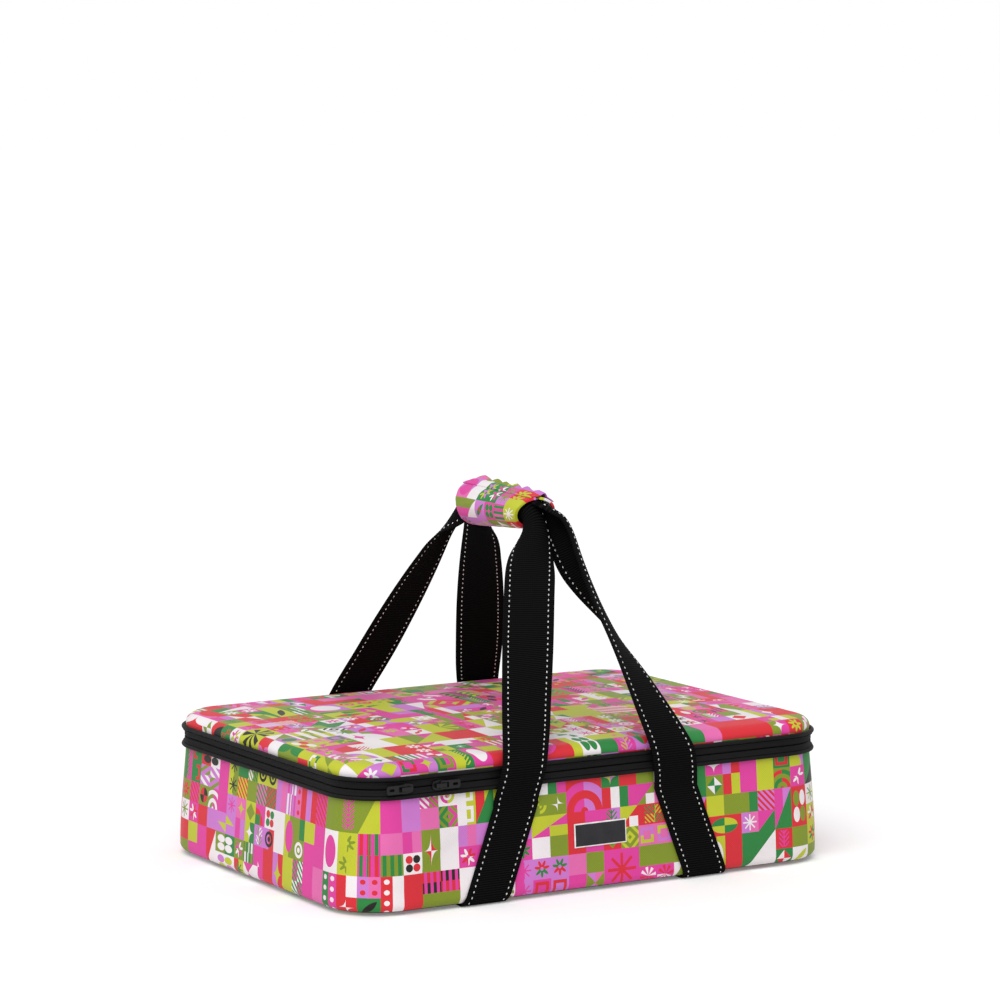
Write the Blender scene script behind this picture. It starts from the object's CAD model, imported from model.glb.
"""A padded, zipped carrier for a covered baking dish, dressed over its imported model.

Metres, +Z up, the front with the label towards -Y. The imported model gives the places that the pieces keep.
"""

import math
from functools import partial
from types import SimpleNamespace

import bmesh
import bpy
import numpy as np
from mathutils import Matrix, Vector, noise


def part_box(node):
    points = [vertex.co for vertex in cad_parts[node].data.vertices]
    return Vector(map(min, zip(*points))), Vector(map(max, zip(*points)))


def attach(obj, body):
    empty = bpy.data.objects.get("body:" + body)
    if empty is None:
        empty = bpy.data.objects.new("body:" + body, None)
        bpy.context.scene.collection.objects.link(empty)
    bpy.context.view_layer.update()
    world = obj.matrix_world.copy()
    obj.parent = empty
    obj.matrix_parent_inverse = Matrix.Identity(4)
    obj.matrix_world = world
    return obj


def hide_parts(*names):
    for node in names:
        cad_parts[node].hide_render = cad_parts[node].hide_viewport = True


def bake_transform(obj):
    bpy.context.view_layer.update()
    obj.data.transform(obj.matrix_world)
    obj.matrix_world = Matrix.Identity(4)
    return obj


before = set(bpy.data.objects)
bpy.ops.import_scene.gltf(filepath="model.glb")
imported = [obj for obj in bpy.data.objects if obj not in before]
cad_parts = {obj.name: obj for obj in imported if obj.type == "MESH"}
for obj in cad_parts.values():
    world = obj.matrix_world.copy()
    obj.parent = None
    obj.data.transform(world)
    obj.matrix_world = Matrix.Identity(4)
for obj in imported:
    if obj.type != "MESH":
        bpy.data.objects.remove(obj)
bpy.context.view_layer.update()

bl_info = {
    "name": "Dish Carrier",
    "version": (1, 0, 0),
    "blender": (4, 5, 0),
    "location": "View3D > Sidebar > Carrier",
    "description": "Makes a padded dish carrier of printed cloth with a zipped lid and a webbing handle",
    "category": "Add Mesh",
}

MM = 0.001
FRAME_LID, FRAME_LID_FOAM = (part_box(name) for name in ("lid_outer", "lid_foam"))
FRAME_LID_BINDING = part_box("lid_binding")
FRAME_WALL, FRAME_FOAM, FRAME_LINER = (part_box(name) for name in ("outer_wall", "wall_foam", "inner_liner"))
FRAME_BOTTOM, FRAME_BOTTOM_FOAM = (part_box(name) for name in ("outer_bottom", "bottom_foam"))
FRAME_PIPING, FRAME_UPPER_PIPING = (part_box(name) for name in ("lower_piping", "upper_piping"))
FRAME_LOWER_TAPE, FRAME_UPPER_TAPE = (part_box(name) for name in ("lower_zip_tape", "upper_zip_tape"))
FRAME_LOWER_COIL, FRAME_UPPER_COIL = (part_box(name) for name in ("lower_zip_coil", "upper_zip_coil"))
FRAME_BINDING, FRAME_HINGE_TAPE = (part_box(name) for name in ("rim_binding", "back_hinge_tape"))
FRAME_LABEL, FRAME_GRIP, FRAME_FLAP = (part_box(name) for name in ("front_label", "grip_cover", "grip_flap"))


def linear(hex_colour):
    """Scene-linear RGBA of an sRGB hex value."""
    channels = [int(hex_colour[i:i + 2], 16) / 255 for i in (1, 3, 5)]
    curve = [c / 12.92 if c <= 0.04045 else ((c + 0.055) / 1.055) ** 2.4 for c in channels]
    return (*curve, 1.0)


def length_property(name, description, default):
    """A size in metres that the sidebar shows in scene units."""
    return bpy.props.FloatProperty(
        name=name, description=description, default=default, min=0.0, precision=5,
        subtype="DISTANCE", unit="LENGTH",
    )


def colour_property(name, description, hex_colour):
    """A colour that the sidebar shows as a swatch."""
    return bpy.props.FloatVectorProperty(
        name=name, description=description, default=linear(hex_colour), size=4, min=0.0, max=1.0,
        subtype="COLOR",
    )


class CarrierSizes(bpy.types.PropertyGroup):
    """Sizes of the cloth, the webbing and the trim."""
    corner_radius: length_property("Corner radius", "Radius of the upright corners at the rim", 38.6 * MM)
    bottom_edge: length_property("Bottom edge radius", "Radius where the wall turns under the bag", 6.5 * MM)
    shoulder_radius: length_property("Shoulder radius", "Radius of the lid's padded edge", 9 * MM)
    lid_crown: length_property("Lid crown", "Rise of the lid's middle over its edges", 3 * MM)
    cloth_thickness: length_property("Cloth", "Thickness of the printed cloth", 1 * MM)
    foam_thickness: length_property("Foam", "Thickness of the foam in the walls and the lid", 6 * MM)
    film_thickness: length_property("Lining film", "Thickness of the lining", 0.8 * MM)
    fit_gap: length_property("Clearance", "Clearance between two layers", 0.3 * MM)
    piping_diameter: length_property("Piping", "Diameter of the covered cords beside the zip", 3.4 * MM)
    patch_size: length_property("Patch", "Side of the print's smallest squares", 15.7 * MM)
    swell: length_property("Swell", "How far the padded cloth stands out between its seams", 0.8 * MM)
    pucker_depth: length_property("Pucker depth", "Depth of the small folds beside the seams", 0.7 * MM)
    pucker_pitch: length_property("Pucker pitch", "Distance between two of those folds", 11 * MM)
    web_width: length_property("Webbing width", "Width of the straps", 39 * MM)
    web_thickness: length_property("Webbing thickness", "Thickness of the straps", 2 * MM)
    rib_pitch: length_property("Rib pitch", "Distance between two ribs across the webbing", 1.8 * MM)
    rib_depth: length_property("Rib depth", "Depth of the grooves between the ribs", 0.34 * MM)
    stitch_pitch: length_property("Stitch pitch", "Distance between two white stitches", 4.5 * MM)
    stitch_length: length_property("Stitch length", "Length of one white stitch", 1.7 * MM)
    stitch_width: length_property("Stitch width", "Width of one white stitch", 1.05 * MM)
    stitch_inset: length_property("Stitch inset", "Distance of the stitches from the edge", 4.6 * MM)
    curl_radius: length_property("Curl radius", "Radius of the right strap in the grip", 12.4 * MM)
    coil_pitch: length_property("Coil pitch", "Distance between two turns of the zip's coil", 1.5 * MM)
    hem_height: length_property("Hem", "Height of the black hem where the wall meets the bottom", 1.2 * MM)


class CarrierColours(bpy.types.PropertyGroup):
    """Colours of the print and of the trim."""
    hot_pink: colour_property("Hot pink", "First pink of the print", "#DC3D9B")
    orchid: colour_property("Orchid", "Pale violet of the print", "#CB78CB")
    rose: colour_property("Rose", "Second pink of the print", "#E36AAD")
    red: colour_property("Red", "Red of the print", "#D62733")
    lime: colour_property("Lime", "Yellow green of the print", "#BEC42A")
    olive: colour_property("Olive", "Leaf green of the print", "#7F9122")
    green: colour_property("Green", "Deep green of the print", "#247F3A")
    white: colour_property("White", "Ground white of the print", "#EEE7E9")
    ink: colour_property("Ink", "Black of the print", "#15110F")
    webbing: colour_property("Webbing", "Black of the straps", "#080808")
    thread: colour_property("Thread", "White of the stitches", "#DAD9D6")
    tape: colour_property("Tape", "Black of the zip tape", "#101011")
    piping: colour_property("Piping", "Black of the covered cords", "#080808")
    coil: colour_property("Coil", "Black of the zip's coil", "#0B0B0C")
    enamel: colour_property("Enamel", "Black of the sliders and pulls", "#080809")
    lining: colour_property("Lining", "Silver of the lining", "#C3C7CB")
    foam: colour_property("Foam", "White of the foam", "#EEEDE9")
    board: colour_property("Board", "Grey of the base board", "#8A8A86")
    fastener: colour_property("Fastener", "Black of the hook and loop tape", "#171718")
    label: colour_property("Label", "Charcoal of the label", "#2B2B2E")
    label_edge: colour_property("Label edge", "White of the label's border", "#E9E8E6")
    floor: colour_property("Floor", "Colour of the studio floor", "#FAFAFA")


def measures(context):
    """The sizes as set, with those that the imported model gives."""
    chosen = context.scene.carrier_sizes
    size = SimpleNamespace(**{name: getattr(chosen, name) for name in CarrierSizes.__annotations__})
    size.half_length = FRAME_LID[1].x
    size.half_depth = FRAME_LID[1].y
    size.flare = FRAME_WALL[1].x - size.half_length
    size.underside = FRAME_WALL[0].z
    size.edge_top = size.underside + size.bottom_edge
    size.wall_top = FRAME_WALL[1].z
    size.piping_low = (FRAME_PIPING[0].z + FRAME_PIPING[1].z) / 2
    size.piping_high = (FRAME_UPPER_PIPING[0].z + FRAME_UPPER_PIPING[1].z) / 2
    size.band_bottom = size.piping_low - size.piping_diameter / 2
    size.band_top = size.piping_high + size.piping_diameter / 2
    size.shoulder_height = size.band_top + size.fit_gap
    size.foam_depth = size.cloth_thickness + size.fit_gap
    size.liner_depth = size.foam_depth + size.foam_thickness + size.fit_gap
    size.binding_depth = size.liner_depth + size.film_thickness + size.fit_gap
    size.slit = (FRAME_LOWER_TAPE[1].z + FRAME_UPPER_TAPE[0].z) / 2
    return size


# How a rim is divided: steps of the straight sides and of a corner
SIDE_STEPS = 116
END_STEPS = 76
CORNER_STEPS = 20
LEAST_RADIUS = 0.5 * MM


def smooth(value, low, high):
    """0 below low, 1 above high and an even turn between them."""
    share = np.clip((np.asarray(value, float) - low) / (high - low), 0, 1)
    return share * share * (3 - 2 * share)


class Rim:
    """The rounded rectangle that the bag's hoops follow, from the middle of the back round the left end."""

    def __init__(self, size):
        self.size = size
        sides = []
        half = SIDE_STEPS // 2
        sides += [(-i / half, 1, 90) for i in range(half)]
        sides += self.corner(-1, 1, 90)
        sides += [(-1, 1 - 2 * i / END_STEPS, 180) for i in range(END_STEPS)]
        sides += self.corner(-1, -1, 180)
        sides += [(-1 + 2 * i / SIDE_STEPS, -1, 270) for i in range(SIDE_STEPS)]
        sides += self.corner(1, -1, 270)
        sides += [(1, -1 + 2 * i / END_STEPS, 0) for i in range(END_STEPS)]
        sides += self.corner(1, 1, 0)
        sides += [(1 - i / half, 1, 90) for i in range(half)]
        table = np.array(sides, float)
        angle = np.radians(table[:, 2])
        self.side = table[:, :2]
        self.normal = np.stack([np.cos(angle), np.sin(angle)], axis=1)
        rim = self.at(0)
        steps = np.linalg.norm(np.roll(rim, -1, axis=0) - rim, axis=1)
        self.along = np.concatenate([[0], np.cumsum(steps)])
        self.count = len(table)

    @staticmethod
    def corner(x, y, start):
        """The steps of one corner, which starts where the side before it ends."""
        return [(x, y, start + 90 * i / CORNER_STEPS) for i in range(CORNER_STEPS)]

    def at(self, out):
        """Points of the rim moved outwards; out is one number or one for each point."""
        size = self.size
        out = np.broadcast_to(np.asarray(out, float), (len(self.side),))
        radius = np.maximum(size.corner_radius + out, LEAST_RADIUS)
        reach = np.stack([size.half_length + out - radius, size.half_depth + out - radius], axis=1)
        return self.side * reach + self.normal * radius[:, None]

    def three_sides(self):
        """The points from the back left corner round the front to the back right corner."""
        start = SIDE_STEPS // 2
        return np.arange(start, self.count - start + 1) % self.count

    def across(self, point):
        """The point opposite in depth, which closes a flat middle."""
        return (self.count // 2 - point) % self.count


def quarter_turn(centre_out, centre_z, radius, start, end, steps):
    """Points of an arc in the section of a wall, from one angle to another."""
    angles = np.radians(np.linspace(start, end, steps + 1))
    return [(centre_out + radius * math.cos(a), centre_z + radius * math.sin(a)) for a in angles]


def section_lengths(profile):
    """How far along its section each point lies."""
    points = np.array(profile, float)
    steps = np.linalg.norm(np.diff(points, axis=0), axis=1)
    return np.concatenate([[0], np.cumsum(steps)])


def woven_faces(rows, columns, rows_closed, columns_closed):
    """Quads between neighbouring rows, with the unrolled corner that each of their corners takes."""
    last_row = rows if rows_closed else rows - 1
    last_column = columns if columns_closed else columns - 1
    r, c = np.meshgrid(np.arange(last_row), np.arange(last_column), indexing="ij")
    corners = [(r, c), (r, c + 1), (r + 1, c + 1), (r + 1, c)]
    vertices = np.stack([(a % rows) * columns + b % columns for a, b in corners], axis=-1)
    unrolled = np.stack([a * (columns + 1) + b for a, b in corners], axis=-1)
    return vertices.reshape(-1, 4).tolist(), unrolled.reshape(-1, 4).tolist()


def close_ends(faces, corners, rows, columns, by_row):
    """Closes both ends of a tube with one face each: its first and last rows, or columns."""
    for end in (0, (rows if by_row else columns) - 1):
        places = [(end, i) for i in range(columns)] if by_row else [(i, end) for i in range(rows)]
        faces.append([row * columns + column for row, column in places])
        corners.append([row * (columns + 1) + column for row, column in places])


def unrolled_grid(first, second, indexing="xy"):
    """Cloth coordinates of a grid, from the lengths along its two directions."""
    return np.stack(np.meshgrid(first, second, indexing=indexing), axis=-1).reshape(-1, 2)


def make_object(name, points, faces, uv_corners, uv_points, finishes, finish_of_face=None):
    """A smooth mesh object with its unrolled cloth coordinates, faces turned outwards."""
    mesh = bpy.data.meshes.new(name)
    mesh.from_pydata([tuple(p) for p in points], [], faces)
    layer = mesh.uv_layers.new(name="cloth")
    flat = np.asarray(uv_points, float)[np.concatenate([np.asarray(f) for f in uv_corners])]
    layer.data.foreach_set("uv", flat.ravel())
    for finish in finishes:
        mesh.materials.append(finish)
    if finish_of_face is not None:
        mesh.polygons.foreach_set("material_index", finish_of_face)
    worker = bmesh.new()
    worker.from_mesh(mesh)
    bmesh.ops.recalc_face_normals(worker, faces=worker.faces)
    worker.to_mesh(mesh)
    worker.free()
    mesh.shade_smooth()
    piece = bpy.data.objects.new(name, mesh)
    bpy.context.scene.collection.objects.link(piece)
    return piece


# Edges that turn more than this stay crisp, in degrees: on padded cloth, on tapes and on webbing
CLOTH_CRISP = 50
TAPE_CRISP = 60
WEB_CRISP = 70


def soften(piece, angle=CLOTH_CRISP):
    """Keeps edges crisp that turn more than an angle in degrees."""
    piece.data.set_sharp_from_angle(angle=math.radians(angle))
    return piece


def hoop(rim, name, profile, finishes, waves=None, three_sided=False):
    """A closed section [out, z] carried round the rim; waves gives how far a row's points move outwards."""
    chosen = rim.three_sides() if three_sided else np.arange(rim.count)
    lengths = section_lengths([*profile, profile[0]])
    points = np.zeros((len(profile), len(chosen), 3))
    for row, (out, z) in enumerate(profile):
        moved = out + (waves(row, z) if waves else 0)
        points[row, :, :2] = rim.at(moved)[chosen]
        points[row, :, 2] = z
    faces, corners = woven_faces(len(profile), len(chosen), True, not three_sided)
    along = rim.along[chosen[0]:chosen[0] + len(chosen) + 1]
    if len(along) < len(chosen) + 1:
        along = np.append(along, along[-1])
    uv = unrolled_grid(along, lengths)
    if three_sided:
        close_ends(faces, corners, len(profile), len(chosen), False)
    return make_object(name, points.reshape(-1, 3), faces, corners, uv, finishes)


def dish(rim, name, profile, finishes, lift=None):
    """An open section carried round the rim, whose first and last rows close over the flat middle."""
    columns = rim.count
    lengths = section_lengths(profile)
    points = np.zeros((len(profile), columns, 3))
    uv = np.zeros((len(profile), columns + 1, 2))
    for row, (out, z) in enumerate(profile):
        flat = rim.at(out)
        points[row, :, :2] = flat
        points[row, :, 2] = z
        if lift:
            points[row] = lift(row, points[row])
        from_first = lengths[row] - (out - profile[0][0])
        from_last = lengths[-1] - lengths[row] - (out - profile[-1][0])
        beyond = max(min(from_first, from_last), 0)
        unrolled = flat + rim.normal * beyond
        uv[row, :columns] = unrolled
        uv[row, columns] = unrolled[0]
    faces, corners = woven_faces(len(profile), columns, False, True)
    for row in (0, len(profile) - 1):
        start = row * columns
        unrolled = row * (columns + 1)
        quarter = columns // 4
        for i in range(-quarter, quarter):
            ring = [i % columns, (i + 1) % columns, rim.across(i + 1), rim.across(i)]
            ring = list(dict.fromkeys(ring))
            faces.append([start + p for p in ring])
            corners.append([unrolled + p for p in ring])
    return make_object(name, points.reshape(-1, 3), faces, corners, uv.reshape(-1, 2), finishes)


def settle(piece, body, slot, *nodes):
    """Carries a piece on its body, in the place of the solids that it stands for."""
    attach(piece, body)
    if nodes:
        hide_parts(*nodes)
    return piece


def put(tree, kind, settings=None, inputs=()):
    """Adds a node, sets its properties and fills its inputs with values or links."""
    node = tree.nodes.new(kind)
    for name, value in (settings or {}).items():
        setattr(node, name, value)
    filled = inputs.items() if isinstance(inputs, dict) else enumerate(inputs)
    for key, value in filled:
        if isinstance(value, bpy.types.NodeSocket):
            tree.links.new(value, node.inputs[key])
        elif isinstance(value, bpy.types.Node):
            tree.links.new(value.outputs[0], node.inputs[key])
        else:
            node.inputs[key].default_value = value
    return node


def maths(tree, operation, *values):
    """Adds a math node over values or links."""
    return put(tree, "ShaderNodeMath", {"operation": operation}, values)


def vector_maths(tree, operation, *values):
    """Adds a vector math node over vectors or links."""
    return put(tree, "ShaderNodeVectorMath", {"operation": operation}, values)


def ranged(tree, value, span, result):
    """Carries a value from one span to another."""
    return put(tree, "ShaderNodeMapRange", None, dict(enumerate((value, *span, *result))))


def toned(tree, tone, colour):
    """A colour with its brightness changed by a factor."""
    return put(tree, "ShaderNodeHueSaturation", None, {"Value": tone, "Color": colour})


def bumped(tree, strength, depth, height):
    """Bump of a depth from a height between 0 and 1."""
    return put(tree, "ShaderNodeBump", None, {"Strength": strength, "Distance": depth, "Height": height})


def clouds(tree, place, grain, dimensions="3D", detail=2.0):
    """Cloudy noise of a grain, from 0 to 1."""
    return put(tree, "ShaderNodeTexNoise", {"noise_dimensions": dimensions}, {
        "Vector": place, "Scale": 1 / grain, "Detail": detail,
    })


def cloth_place(tree):
    """Place on the unrolled cloth."""
    return put(tree, "ShaderNodeUVMap", {"uv_map": "cloth"})


def own_place(tree):
    """Place in the piece itself."""
    return put(tree, "ShaderNodeTexCoord").outputs["Object"]


def new_finish(name):
    """An empty material with its node tree."""
    finish = bpy.data.materials.new(name)
    finish.use_nodes = True
    finish.node_tree.nodes.clear()
    return finish, finish.node_tree


def close_finish(tree, surface):
    """Links a surface shader to the material's output."""
    put(tree, "ShaderNodeOutputMaterial", None, {"Surface": surface})


def close_principled(tree, inputs):
    """Links a principled surface to the material's output."""
    close_finish(tree, put(tree, "ShaderNodeBsdfPrincipled", None, inputs))


def distance(tree, x, y):
    """Distance of a place from the middle of its patch."""
    place = put(tree, "ShaderNodeCombineXYZ", None, (x, y))
    return vector_maths(tree, "LENGTH", place).outputs["Value"]


# Sizes of the motifs as shares of a square: a pair is a band's middle or pitch and its reach
MOTIF_SIZE_SHARES = SimpleNamespace(
    disc=0.38, ring=(0.31, 0.075), pupil=0.13, spindle=0.43, nested=(0.22, 0.1), frame=(0.3, 0.08),
    burst=0.4, spoke=0.036, slant=0.7, sparkle=0.65, sun=0.45, flower=(0.12, 0.3), eye=0.09,
    stripe=(1 / 6, 1 / 12), twigs=(0.12, 0.05), twig_reach=0.3, stem=0.035, frond=0.42,
    dot_pitch=0.25, dot=0.12, arches=(0.2, 0.1), lobe_place=0.2, lobe=0.19, leaf=0.86, quarter=0.8,
)
SUN_RAYS = 8.0
FLOWER_PETALS = 7.0


def motif_masks(tree, x, y, share_x, share_y, full_x, full_y, long_x, long_y):
    """The motifs that a patch may hold, each 1 where its ink lies.

    x and y run from -0.5 to 0.5 in each square of a patch, and long_x and long_y over the whole patch.
    share_x and share_y are the same without their sign, and full_x and full_y keep the unit of x and y.
    """
    of = partial(maths, tree)
    motif = MOTIF_SIZE_SHARES

    def under(value, limit):
        return of("LESS_THAN", value, limit)

    def banded(value, pitch, reach):
        return under(of("PINGPONG", value, pitch), reach)

    def wave_round(count):
        return of("SINE", of("MULTIPLY", angle, count))

    wide = of("ABSOLUTE", x)
    high = of("ABSOLUTE", y)
    radius = distance(tree, x, y)
    angle = of("ARCTAN2", y, x)
    rising = of("ADD", x, y)
    falling = of("SUBTRACT", x, y)
    both = of("ADD", share_x, share_y)
    left, long_low = (of("ADD", side, 0.5) for side in (long_x, long_y))
    right, top = (of("SUBTRACT", side, 0.5) for side in (long_x, long_y))
    disc = under(distance(tree, long_x, long_y), motif.disc)
    target = of("MAXIMUM", of("COMPARE", radius, *motif.ring), under(radius, motif.pupil))
    spindle = under(both, motif.spindle)
    pitch, reach = motif.nested
    nested = of("COMPARE", of("PINGPONG", both, pitch), pitch, reach)
    half_square = of("GREATER_THAN", long_x, long_y)
    hourglass = of("GREATER_THAN", share_x, share_y)
    square_frame = of("COMPARE", of("MAXIMUM", wide, high), *motif.frame)
    slants = of("MINIMUM", of("ABSOLUTE", rising), of("ABSOLUTE", falling))
    spokes = of("MINIMUM", of("MINIMUM", wide, high), of("MULTIPLY", slants, motif.slant))
    burst = of("MULTIPLY", under(radius, motif.burst), under(spokes, motif.spoke))
    sparkle = under(of("ADD", of("SQRT", share_x), of("SQRT", share_y)), motif.sparkle)
    sunburst = of("MULTIPLY", under(radius, motif.sun), of("GREATER_THAN", wave_round(SUN_RAYS), 0.0))
    petals = under(radius, of("MULTIPLY_ADD", wave_round(FLOWER_PETALS), *motif.flower))
    rosette = of("MULTIPLY", petals, of("GREATER_THAN", radius, motif.eye))
    stripes = banded(full_x, *motif.stripe)
    slanted_stripes = banded(rising, *motif.stripe)
    from_stem = of("ABSOLUTE", full_x)
    twigs = banded(of("SUBTRACT", full_y, from_stem), *motif.twigs)
    leafy = of("MULTIPLY", twigs, under(share_x, motif.twig_reach))
    frond = of("MULTIPLY", of("MAXIMUM", leafy, under(from_stem, motif.stem)), under(share_y, motif.frond))
    lattice = [
        of("SUBTRACT", of("PINGPONG", side, motif.dot_pitch), motif.dot_pitch) for side in (x, y)
    ]
    dots = under(distance(tree, *lattice), motif.dot)
    arches = banded(distance(tree, x, of("ADD", y, 0.5)), *motif.arches)
    lobes = [of("SUBTRACT", side, motif.lobe_place) for side in (share_x, share_y)]
    quatrefoil = under(distance(tree, *lobes), motif.lobe)
    leaf = under(of("MAXIMUM", distance(tree, left, top), distance(tree, right, long_low)), motif.leaf)
    quarter = under(distance(tree, left, long_low), motif.quarter)
    split_upright = of("GREATER_THAN", long_x, 0.0)
    split_quarters = of("GREATER_THAN", of("MULTIPLY", long_x, long_y), 0.0)
    masks = [
        disc, target, spindle, spindle, nested, half_square, hourglass, square_frame, burst, burst,
        sparkle, sparkle, sunburst, rosette, rosette, stripes, slanted_stripes, frond, frond, dots,
        arches, quatrefoil, leaf, quarter, half_square,
    ]
    return masks, split_upright, split_quarters


# Shares of the print's area that each colour takes, in the order round which patches are split
GROUND_SHARES = (
    ("hot_pink", 0.17), ("orchid", 0.13), ("rose", 0.09), ("red", 0.17), ("white", 0.1),
    ("lime", 0.12), ("olive", 0.12), ("green", 0.1),
)
MOTIF_SHARES = (
    ("white", 0.25), ("lime", 0.15), ("red", 0.19), ("olive", 0.1), ("hot_pink", 0.12), ("green", 0.13),
    ("ink", 0.03), ("orchid", 0.03),
)
PLAIN_KINDS = 8
# Blocks by chance: parted upright, quartered, and parted level (a middle and its reach)
UPRIGHT_SHARE = 0.66
QUARTERED_SHARE = 0.34
LEVEL_SHARES = (0.74, 0.08)
# Steps along the palettes to the second colour of a halved patch and of a split motif
GROUND_STEP_SHARE = 0.17
MOTIF_STEP_SHARE = 0.38
HALVED_SHARE = 0.3
SPLIT_SHARE = 0.45


def palette(tree, colours, shares, value):
    """One flat colour for each stretch of the values from 0 to 1, by its share of the area."""
    ramp = put(tree, "ShaderNodeValToRGB", None, (value,))
    ramp.color_ramp.interpolation = "CONSTANT"
    stops = ramp.color_ramp.elements
    while len(stops) < len(shares):
        stops.new(0.5)
    start = 0.0
    for stop, (name, share) in zip(stops, shares):
        stop.position = start
        start += share
    for stop, (name, share) in zip(stops, shares):
        stop.color = getattr(colours, name)
    return ramp.outputs["Color"]


def shifted(tree, value, chosen, step):
    """A value from 0 to 1 moved on by a step where chosen is 1."""
    moved = maths(tree, "MULTIPLY_ADD", chosen, step, value)
    return maths(tree, "FRACT", moved)


def patchwork(tree, colours, patch_size):
    """Colour of the print: squares and oblongs of two sizes, plain, halved or with one bold motif."""
    of = partial(maths, tree)
    uv = cloth_place(tree)
    block = 2 * patch_size
    place = vector_maths(tree, "MULTIPLY", uv, (1 / block, 1 / block, 0))
    block_id = vector_maths(tree, "FLOOR", place)
    inside = vector_maths(tree, "FRACTION", place)
    layout = put(tree, "ShaderNodeTexWhiteNoise", {"noise_dimensions": "3D"}, (block_id,)).outputs["Value"]
    upright = of("LESS_THAN", layout, UPRIGHT_SHARE)
    quartered = of("LESS_THAN", layout, QUARTERED_SHARE)
    level = of("COMPARE", layout, *LEVEL_SHARES)
    parts_x = of("ADD", upright, 1.0)
    parts_y = of("ADD", of("MAXIMUM", quartered, level), 1.0)
    parts = put(tree, "ShaderNodeCombineXYZ", None, (parts_x, parts_y, 1.0))
    divided = vector_maths(tree, "MULTIPLY", inside, parts)
    part_id = vector_maths(tree, "FLOOR", divided)
    patch_id = vector_maths(tree, "MULTIPLY_ADD", block_id, (2, 2, 2), part_id)
    chance = put(tree, "ShaderNodeTexWhiteNoise", {"noise_dimensions": "4D"}, {"Vector": patch_id, "W": 7.0})
    ground_chance, motif_chance, kind_chance = put(
        tree, "ShaderNodeSeparateColor", None, (chance.outputs["Color"],)).outputs[:3]
    fewest = of("MAXIMUM", parts_x, parts_y)
    sides = put(tree, "ShaderNodeSeparateXYZ", None, (vector_maths(tree, "FRACTION", divided),))
    square, share, full, long = [], [], [], []
    for axis, count in ((sides.outputs[0], parts_x), (sides.outputs[1], parts_y)):
        stretch = of("DIVIDE", fewest, count)
        tile = of("FRACT", of("MULTIPLY", axis, stretch))
        centred = of("SUBTRACT", axis, 0.5)
        square.append(of("SUBTRACT", tile, 0.5))
        share.append(of("ABSOLUTE", centred))
        full.append(of("MULTIPLY", centred, stretch))
        long.append(centred)
    masks, split_upright, split_quarters = motif_masks(tree, *square, *share, *full, *long)
    kinds = len(masks) + PLAIN_KINDS
    kind = of("FLOOR", of("MULTIPLY", kind_chance, float(kinds)))
    ink = 0.0
    for number, mask in enumerate(masks):
        chosen = of("COMPARE", kind, float(number), 0.5)
        ink = of("MULTIPLY_ADD", chosen, mask, ink)
    other = of("FRACT", of("MULTIPLY", motif_chance, 17.0))
    halved = of("LESS_THAN", other, HALVED_SHARE)
    ground_half = of("MULTIPLY", halved, split_upright)
    ground_place = shifted(tree, ground_chance, ground_half, GROUND_STEP_SHARE)
    ground = palette(tree, colours, GROUND_SHARES, ground_place)
    split = of("GREATER_THAN", other, 1 - SPLIT_SHARE)
    motif_half = of("MULTIPLY", split, split_quarters)
    motif_place = shifted(tree, motif_chance, motif_half, MOTIF_STEP_SHARE)
    motif = palette(tree, colours, MOTIF_SHARES, motif_place)
    mixed = put(tree, "ShaderNodeMix", {"data_type": "RGBA"}, {0: ink, 6: ground, 7: motif})
    return uv, mixed.outputs[2]


def woven_bump(tree, uv, thread, depth):
    """Height of a plain weave: threads over and under each other on the unrolled cloth."""
    turns = vector_maths(tree, "MULTIPLY", uv, (math.pi / thread, math.pi / thread, 0))
    sides = put(tree, "ShaderNodeSeparateXYZ", None, (turns,))
    warp = maths(tree, "SINE", sides.outputs[0])
    weft = maths(tree, "SINE", sides.outputs[1])
    height = maths(tree, "MULTIPLY", warp, weft)
    return bumped(tree, 1.0, depth, height)


def printed_polyester(colours, size):
    """Woven polyester, printed and lightly coated: even matt colour, a soft satin edge and a fine weave."""
    finish, tree = new_finish("printed_polyester")
    uv, colour = patchwork(tree, colours, size.patch_size)
    # Ink lies a little unevenly: cloudy changes of about 40 mm
    unevenness = clouds(tree, uv, 40 * MM, "2D")
    tone = ranged(tree, unevenness, (0.3, 0.7), (0.95, 1.03))
    shade = toned(tree, tone, colour)
    # Threads of 0.3 mm wouldn't show, so they are drawn 0.9 mm apart
    weave = woven_bump(tree, uv, 0.9 * MM, 0.05 * MM)
    rough = ranged(tree, unevenness, (0.3, 0.7), (0.56, 0.66))
    close_principled(tree, {
        "Base Color": shade, "Roughness": rough, "Specular IOR Level": 0.35,
        "Sheen Weight": 0.08, "Sheen Roughness": 0.4, "Normal": weave,
    })
    return finish


def fibre_finish(name, colour, thread, depth, roughness, sheen):
    """Woven or knitted fibre in one colour: the threads catch the light, and the tone drifts a little."""
    finish, tree = new_finish(name)
    uv = cloth_place(tree)
    weave = woven_bump(tree, uv, thread, depth)
    drift = clouds(tree, uv, 9 * MM, "2D", 4.0)
    tone = ranged(tree, drift, (0.25, 0.75), (0.82, 1.18))
    shade = toned(tree, tone, tuple(colour))
    close_principled(tree, {
        "Base Color": shade, "Roughness": roughness, "Specular IOR Level": 0.16,
        "Sheen Weight": sheen, "Sheen Roughness": 0.5, "Normal": weave,
    })
    return finish


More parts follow.
